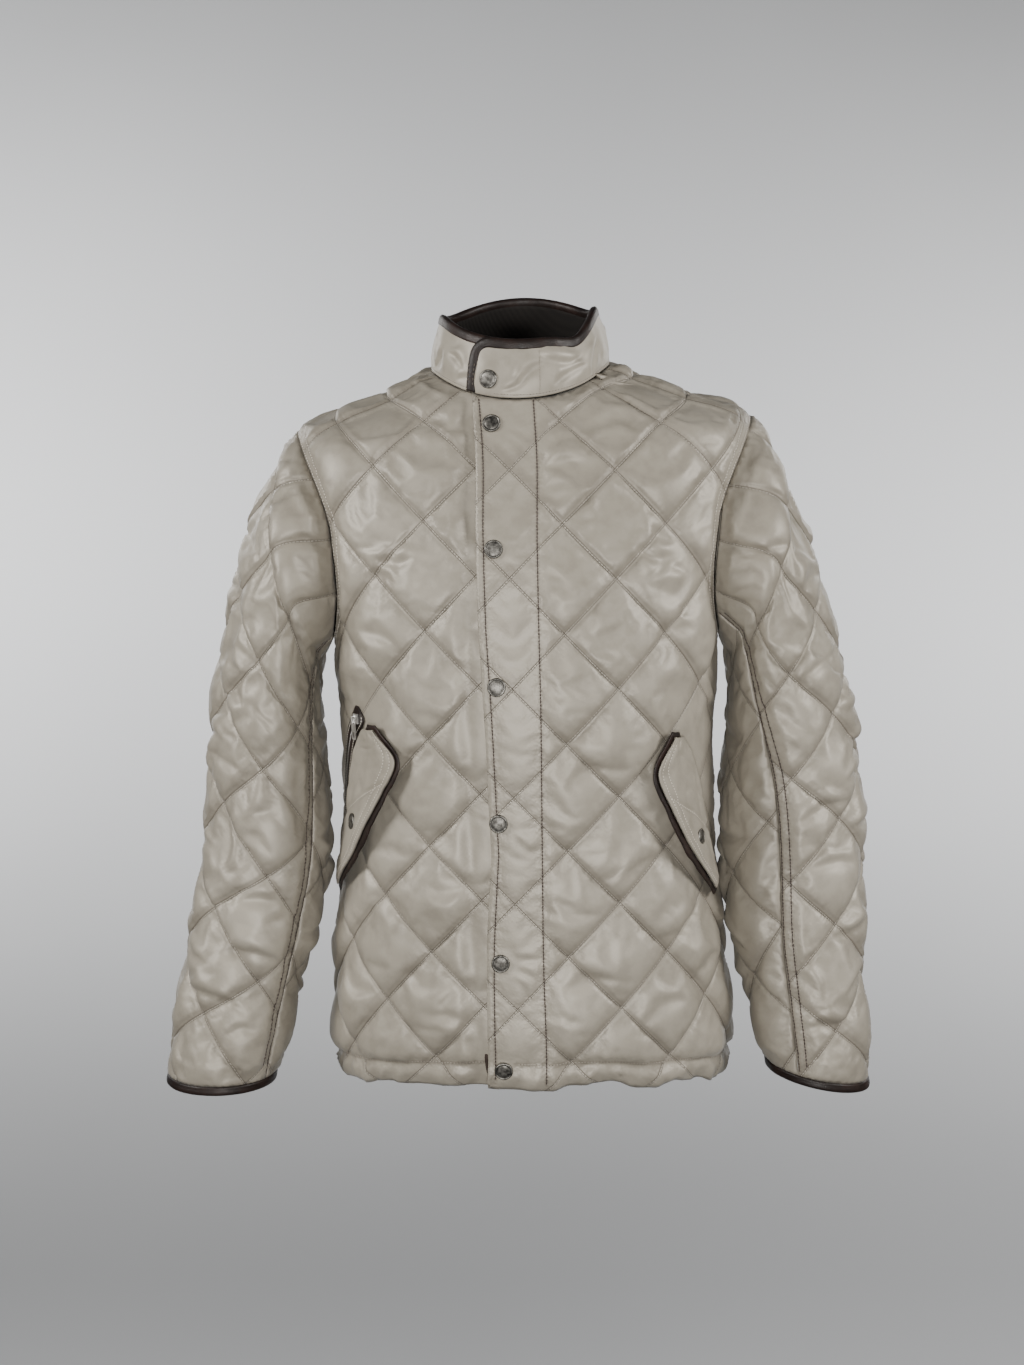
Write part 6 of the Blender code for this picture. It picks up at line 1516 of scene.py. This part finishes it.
def nylonMaterial(name, quilted):
    made, tree, shader = material(name, Metallic=nylon["satin"], Sheen_Weight=0.06, Sheen_Roughness=0.4)
    place = node(tree, "ShaderNodeTexCoord", output=3)
    cloth = node(tree, "ShaderNodeAttribute", {"attribute_name": "cloth"}, output=1)
    broad = noiseOf(tree, place, 7.0, 3.0)
    medium = noiseOf(tree, place, 55.0, 3.0, 0.6)
    fine = noiseOf(tree, scaled(tree, place, (1.0, 1.0, 0.55)), 420.0, 2.0)
    weave = noiseOf(tree, scaled(tree, place, (1.0, 1.0, 3.0)), 2600.0, 1.0)
    height = (medium - 0.5) * 0.12 + (fine - 0.5) * 0.03 + (weave - 0.5) * 0.03
    colour = mixColour(tree, stepped(tree, broad, 0.35, 0.7), nylon["colour"], nylon["light"])
    colour = mixColour(tree, stepped(tree, medium, 0.62, 0.30) * 0.16, colour, nylon["dark"])
    if quilted:
        parts = [node(tree, "ShaderNodeSeparateXYZ", {}, {0: cloth}, output=k) for k in range(3)]
        for a, b, below in ((parts[0], parts[1], 1.0), (parts[1], parts[0], -1.0)):
            # painted shade: the lower slope of each pillow, just above its stitch line, is darkened as if less
            # light fell there
            side = (a * below + 200.0).of("FRACT") * cellSide
            colour = mixColour(tree, stepped(tree, side, 15 * mm, 0.5 * mm) * nylon["paintedSlopeShade"], colour,
                               nylon["dark"])
            off = abs((a + 100.5).of("FRACT") - 0.5) * cellSide
            along = b * cellSide
            wave = noiseOf(tree, joined(tree, along / nylon["puckerPitch"], off / (7 * mm), a * 3.1), 1.0,
                           1.5)
            near = (0.0 - off / nylon["puckerReach"]).of("EXPONENT")
            height = height + (wave - 0.5) * near * 0.9
            gap = abs((along / nylon["stitchPitch"] + 200.0).of("FRACT") - 0.5)
            dash = stepped(tree, gap, 0.44, 0.36)
            line = stepped(tree, off, nylon["stitchWidth"], nylon["stitchWidth"] * 0.6)
            # painted shade: the cloth is darkened in the groove along each quilting line
            colour = mixColour(tree, stepped(tree, off, 1.7 * mm, 0.4 * mm) * 0.62, colour, nylon["dark"])
            colour = mixColour(tree, line * dash * 0.6, colour, nylon["thread"])
            height = height - stepped(tree, off, 1.6 * mm, 0.6 * mm) * 0.5 + line * dash * 0.5
        sewn = (parts[2] * -0.16).of("EXPONENT")
        height = height + (noiseOf(tree, place, 210.0, 1.0) - 0.5) * sewn * 1.3
        # painted shade: the cloth is darkened in the groove within about 3 mm of each sewn row
        colour = mixColour(tree, stepped(tree, parts[2], 3.2, 0.8) * 0.28, colour, nylon["dark"])
    feed(tree, shader, "Base Color", colour)
    feed(tree, shader, "Roughness", (medium - 0.5) * 0.18 + nylon["roughness"])
    feed(tree, shader, "Normal", bumped(tree, height, 1.0 * mm))
    return made


leather = {"dark": (0.009, 0.005, 0.004, 1.0), "light": (0.024, 0.012, 0.009, 1.0),
           "worn": (0.036, 0.019, 0.014, 1.0),
           "roughness": 0.31, "coat": 0.06}


def leatherMaterial():
    made, tree, shader = material("brownLeather", Coat_Roughness=0.35, Specular_IOR_Level=0.38)
    place = node(tree, "ShaderNodeTexCoord", output=3)
    grain = node(tree, "ShaderNodeTexVoronoi", {"feature": "SMOOTH_F1"},
                 {"Vector": place, "Scale": 900.0, "Smoothness": 0.6})
    broad = noiseOf(tree, place, 45.0, 4.0, 0.6)
    fine = noiseOf(tree, place, 1500.0, 2.0)
    colour = mixColour(tree, stepped(tree, broad, 0.4, 0.72), leather["dark"], leather["light"])
    colour = mixColour(tree, stepped(tree, grain, 0.55, 0.2) * 0.25, colour, leather["worn"])
    feed(tree, shader, "Base Color", colour)
    feed(tree, shader, "Roughness", broad * 0.22 + grain * 0.12 + leather["roughness"])
    feed(tree, shader, "Coat Weight", stepped(tree, broad, 0.3, 0.7) * leather["coat"])
    feed(tree, shader, "Normal", bumped(tree, grain * 0.7 + fine * 0.2 + broad * 1.5, 0.25 * mm))
    return made


def metalMaterial(name, dark, light, roughness, worn):
    made, tree, shader = material(name, Metallic=1.0)
    place = node(tree, "ShaderNodeTexCoord", output=3)
    broad = noiseOf(tree, place, 260.0, 4.0, 0.65)
    fine = noiseOf(tree, place, 1800.0, 2.0)
    share = stepped(tree, broad, 0.32, 0.68)
    # with worn set, the cap is darker in its groove and round its foot, where it sits on the cloth
    if worn:
        cloth = node(tree, "ShaderNodeAttribute", {"attribute_name": "cloth"}, output=1)
        radius = node(tree, "ShaderNodeSeparateXYZ", {}, {0: cloth}, output=0)
        groove = stepped(tree, abs(radius - 0.755), 0.055, 0.015)
        foot = stepped(tree, radius, 0.99, 1.0)
        share = share * (1 - groove * 0.85) * (1 - foot * 0.5)
    colour = mixColour(tree, share, dark, light)
    feed(tree, shader, "Base Color", colour)
    feed(tree, shader, "Roughness", broad * 0.20 + fine * 0.08 + roughness)
    feed(tree, shader, "Normal", bumped(tree, broad * 0.6 + fine * 0.3, 0.12 * mm))
    return made


def darkCloth(name, colour, light, pitch, roughness):
    made, tree, shader = material(name, Sheen_Weight=0.04, Specular_IOR_Level=0.25)
    place = node(tree, "ShaderNodeTexCoord", output=3)
    broad = noiseOf(tree, place, 60.0, 3.0)
    warp = node(tree, "ShaderNodeTexWave", {"wave_type": "BANDS", "bands_direction": "DIAGONAL"},
                {"Vector": place, "Scale": 0.5 / pitch / 10, "Distortion": 0.6, "Detail": 1.0})
    weft = noiseOf(tree, place, 1.6 / pitch, 1.0)
    feed(tree, shader, "Base Color", mixColour(tree, broad * 0.5 + warp * 0.25 + weft * 0.25, colour, light))
    feed(tree, shader, "Roughness", broad * 0.15 + roughness)
    feed(tree, shader, "Normal", bumped(tree, warp * 0.6 + weft * 0.5, 0.25 * mm))
    return made


def threadMaterial(name, colour, light):
    made, tree, shader = material(name, Roughness=0.55, Sheen_Weight=0.15)
    place = node(tree, "ShaderNodeTexCoord", output=3)
    twist = noiseOf(tree, place, 1400.0, 2.0)
    feed(tree, shader, "Base Color", mixColour(tree, stepped(tree, twist, 0.35, 0.65), colour, light))
    feed(tree, shader, "Normal", bumped(tree, twist, 0.12 * mm))
    return made


finishes = {
    "quilted": nylonMaterial("quiltedNylon", True),
    "plain": nylonMaterial("plainNylon", False),
    "leather": leatherMaterial(),
    "lining": darkCloth("darkLining", (0.006, 0.005, 0.0045, 1.0), (0.018, 0.015, 0.013, 1.0), 0.6 * mm, 0.8),
    "tape": darkCloth("wovenTape", (0.020, 0.013, 0.010, 1.0), (0.060, 0.042, 0.034, 1.0), 0.7 * mm, 0.65),
    "aged": metalMaterial("agedNickel", (0.070, 0.066, 0.060, 1.0), (0.280, 0.268, 0.246, 1.0), 0.36, True),
    "bright": metalMaterial("brightNickel", (0.740, 0.730, 0.710, 1.0), (0.930, 0.920, 0.900, 1.0), 0.30,
                            False),
    "hole": threadMaterial("needleHole", (0.075, 0.060, 0.045, 1.0), (0.130, 0.105, 0.080, 1.0)),
    "darkThread": threadMaterial("darkThread", (0.022, 0.012, 0.009, 1.0), (0.055, 0.034, 0.025, 1.0)),
    "tonalThread": threadMaterial("tonalThread", (0.250, 0.222, 0.180, 1.0), (0.370, 0.335, 0.280, 1.0)),
    "paleThread": threadMaterial("paleThread", (0.620, 0.572, 0.490, 1.0), (0.790, 0.740, 0.650, 1.0)),
}
wears = {"collar": "plain", "pocket_flap_left": "plain", "pocket_flap_right": "plain",
         "collar_facing": "lining",
         "front_zip_tape": "tape", "collar_binding": "leather", "cuff_binding_left": "leather",
         "cuff_binding_right": "leather", "flap_leather_left": "leather", "flap_leather_right": "leather",
         "zip_facing": "leather"}
for nodeName, piece in cloths.items():
    piece.data.materials.append(finishes[wears.get(nodeName, "quilted")])
for piece in snaps:
    piece.data.materials.append(finishes["aged"])
for nodeName in ("zip_slider", "zip_pull_tab"):
    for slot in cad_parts[nodeName].material_slots:
        slot.material = finishes["bright"]


# the rows of stitches

threads = {"dark": ("darkThread", {"radius": 0.78 * mm, "length": 3.3 * mm, "pitch": 3.5 * mm,
                                   "sink": 0.05 * mm}),
           "pale": ("paleThread", {"radius": 0.48 * mm, "length": 2.3 * mm, "pitch": 3.3 * mm,
                                   "sink": 0.10 * mm,
                                  "holes": finishes["hole"]}),
           "tonal": ("tonalThread", {"radius": 0.50 * mm, "length": 2.3 * mm, "pitch": 3.2 * mm,
                                     "sink": 0.10 * mm,
                                    "holes": finishes["hole"]}),
           "zigzag": ("hole", {"radius": 0.50 * mm, "length": 2.6 * mm, "pitch": 4.6 * mm,
                               "sink": 0.05 * mm}),
           "teeth": ("bright", {"radius": 1.1 * mm, "length": 1.0 * mm, "pitch": 2.0 * mm,
                                "sink": 0.45 * mm})}
graph = bpy.context.evaluated_depsgraph_get()
faces = {nodeName: BVHTree.FromObject(cloths[nodeName], graph) for nodeName in panels}


def ontoCloth(nodeName, points, normals):
    # drops a row of points onto the settled cloth
    dropped = []
    for point, normal in zip(points, normals):
        start = Vector(point + normal * 9 * mm)
        hit = faces[nodeName].ray_cast(start, -Vector(normal), 20 * mm)[0]
        dropped.append(np.array(hit) if hit is not None else point)
    return np.array(dropped)


for name, nodeName, (x, v), colour in panelRows:
    run = runOf(x, v)
    share = np.arange(0.0, run[-1], 1.2 * mm)
    points, _, normals = panels[nodeName].place(np.interp(share, run, x), np.interp(share, run, v))
    points = ontoCloth(nodeName, points, normals)
    finish, sizes = threads[colour]
    stitchRow(name, points, normals, finishes[finish], **sizes)


def surfaceRow(name, place, s, t, colour):
    # a row laid over a piece that has its own grid places
    points = place(s, t)
    across = place(s, np.clip(t + 0.02, 0, 1)) - place(s, np.clip(t - 0.02, 0, 1))
    normals = unit(np.cross(np.gradient(points, axis=0), across))
    outward = points * np.array([1.0, 1.0, 0.0])
    normals = normals * np.sign((normals * outward).sum(axis=1))[:, None]
    finish, sizes = threads[colour]
    return stitchRow(name, points, normals, finishes[finish], **sizes)


span = np.linspace(0.0, 1.0, 160)
for word, seed in (("Left", 81), ("Right", 85)):
    def onFlap(s, t, f=flaps[word], k=seed):
        return f.place(s, t, flapHeight(s, t, k))

    along = 0.03 + 0.94 * span
    for k, inset in enumerate(flap["rowInsets"]):
        surfaceRow(f"flapStitches{word}{k}", onFlap, along, np.full(160, 1 - inset / flap["across"]), "pale")
    across = 0.06 + 0.88 * span
    surfaceRow(f"flapQuilting{word}", onFlap, 0.47 - (across - 0.5) * 0.29, across, "pale")
surfaceRow("zipTeeth", layFacing, 0.03 + 0.80 * span, np.full(160, 0.50), "teeth")
surfaceRow("facingStitchesInner", layFacing, 0.04 + 0.90 * span, np.full(160, 0.86), "pale")
surfaceRow("facingStitchesOuter", layFacing, 0.04 + 0.90 * span, np.full(160, 0.12), "pale")
fine = np.linspace(0.025, 0.995, 700)
surfaceRow("collarFootStitches", layCollar, fine, np.full(700, 0.07), "tonal")
surfaceRow("collarEndStitches", layCollar, np.full(60, 0.098), np.linspace(0.05, 0.93, 60), "tonal")


def onBinding(s, t):
    return onRoute(s, np.full(len(s), 5.9 * mm), (t - 0.5) * 11 * mm + 1.9 * mm)


for k, t in enumerate((0.26, 0.74)):
    surfaceRow(f"bindingStitches{k}", onBinding, np.linspace(0.945 + 0.002 * k, 0.996, 80), np.full(80, t),
               "zigzag")
print("stitches ready")


# stage, lights and camera

# the backdrop's paint stops, by height, are painted light and shade: grey on the floor, a dark band low on the
# wall, a bright pool of light across its middle, darker towards its top
stage = {"floorZ": -3.90, "wallY": 3.4, "bend": 1.0, "bendSteps": 24, "halfSize": 4.0, "rise": 5.0,
         "paintFrom": -3.90, "paintTo": 1.10, "world": (0.90, 0.95, 1.0, 1.0), "worldStrength": 0.05,
         "paintedLightBands": (
    (0.0, (0.40, 0.40, 0.40)), (0.30, (0.10, 0.10, 0.10)), (0.65, (0.80, 0.80, 0.80)),
    (1.0, (0.25, 0.25, 0.25)))}
bm = bmesh.new()
bmesh.ops.create_grid(bm, x_segments=1, y_segments=1, size=stage["halfSize"])
bmesh.ops.translate(bm, verts=bm.verts, vec=(0.0, stage["wallY"] - stage["halfSize"], stage["floorZ"]))
far = [edge for edge in bm.edges if all(vert.co.y > stage["wallY"] - 0.01 for vert in edge.verts)]
bent = bmesh.ops.spin(bm, geom=far + [vert for edge in far for vert in edge.verts][:2],
                      cent=(0.0, stage["wallY"], stage["floorZ"] + stage["bend"]), axis=(1, 0, 0),
                      angle=math.pi / 2, steps=stage["bendSteps"])
last = [item for item in bent["geom_last"] if isinstance(item, bmesh.types.BMEdge)]
risen = bmesh.ops.extrude_edge_only(bm, edges=last)
bmesh.ops.translate(bm, verts=[item for item in risen["geom"] if isinstance(item, bmesh.types.BMVert)],
                    vec=(0, 0, stage["rise"]))
bmesh.ops.recalc_face_normals(bm, faces=bm.faces)
backdrop = finished("backdrop", bm)
# painted light and shade: the backdrop's colour follows its height
made, tree, shader = material("backdropPaintedLight", Roughness=0.9)
place = node(tree, "ShaderNodeTexCoord", output=3)
level = node(tree, "ShaderNodeSeparateXYZ", {}, {0: place}, output=2)
soft = noiseOf(tree, place, 0.5, 3.0) * 0.10 - 0.05
height = (level - stage["paintFrom"]) / (stage["paintTo"] - stage["paintFrom"]) + soft
feed(tree, shader, "Base Color", node(tree, "ShaderNodeValToRGB", {"stops": stage["paintedLightBands"]}, {0: height}))
backdrop.data.materials.append(made)

world = bpy.data.worlds.new("studio")
bpy.context.scene.world = world
world.use_nodes = True
world.node_tree.nodes["Background"].inputs["Color"].default_value = stage["world"]
world.node_tree.nodes["Background"].inputs["Strength"].default_value = stage["worldStrength"]

warm, cool = (1.0, 0.985, 0.955), (0.97, 0.98, 1.0)
lights = {  # place, aim, size, power, colour
    "left": ((-2.15, -1.00, 0.70), (0.0, 0.0, -0.35), (0.8, 0.8), 55.0, warm),
    "right": ((2.20, -1.00, 0.65), (0.0, 0.0, -0.35), (0.8, 0.8), 53.0, warm),
    "front": ((0.0, -2.5, -0.36), (0.0, 0.0, -0.38), (0.5, 0.5), 43.0, warm),
    "backLeft": ((-1.7, 2.0, 0.5), (0.0, 0.0, -0.35), (0.9, 0.9), 15.0, warm),
    "backRight": ((1.7, 2.0, 0.5), (0.0, 0.0, -0.35), (0.9, 0.9), 13.0, warm),
    "wallLeft": ((-2.74, 1.95, -0.4), (-1.93, 3.65, -0.45), (1.6, 2.2), 185.0, cool),
    "wallRight": ((2.74, 1.95, -1.2), (1.93, 3.65, -1.25), (1.6, 2.2), 160.0, cool),
}
for name, (place, aim, size, power, colour) in lights.items():
    lamp = bpy.data.lights.new(name, "AREA")
    lamp.shape = "RECTANGLE"
    lamp.size, lamp.size_y = size
    lamp.energy = power
    lamp.color = colour
    item = bpy.data.objects.new(name, lamp)
    item.location = place
    item.visible_camera = False
    item.rotation_euler = (Vector(aim) - Vector(place)).to_track_quat("-Z", "Y").to_euler()
    bpy.context.scene.collection.objects.link(item)

lensData = {"sensor": 36.0, "focal": 2200.0, "frameHeight": 1365.0, "levelRow": 350.0,
            "place": (-0.0124, -2.27, 0.023)}  # focal length, height and level row in pixels
view = bpy.data.cameras.new("camera")
view.sensor_width = lensData["sensor"]
view.lens = lensData["focal"] / lensData["frameHeight"] * lensData["sensor"]
camera = bpy.data.objects.new("camera", view)
camera.location = lensData["place"]
tilt = math.atan((lensData["frameHeight"] / 2 - lensData["levelRow"]) / lensData["focal"])
camera.rotation_euler = (math.radians(90.0) - tilt, 0.0, 0.0)
bpy.context.scene.collection.objects.link(camera)
bpy.context.scene.camera = camera

print("scene ready")
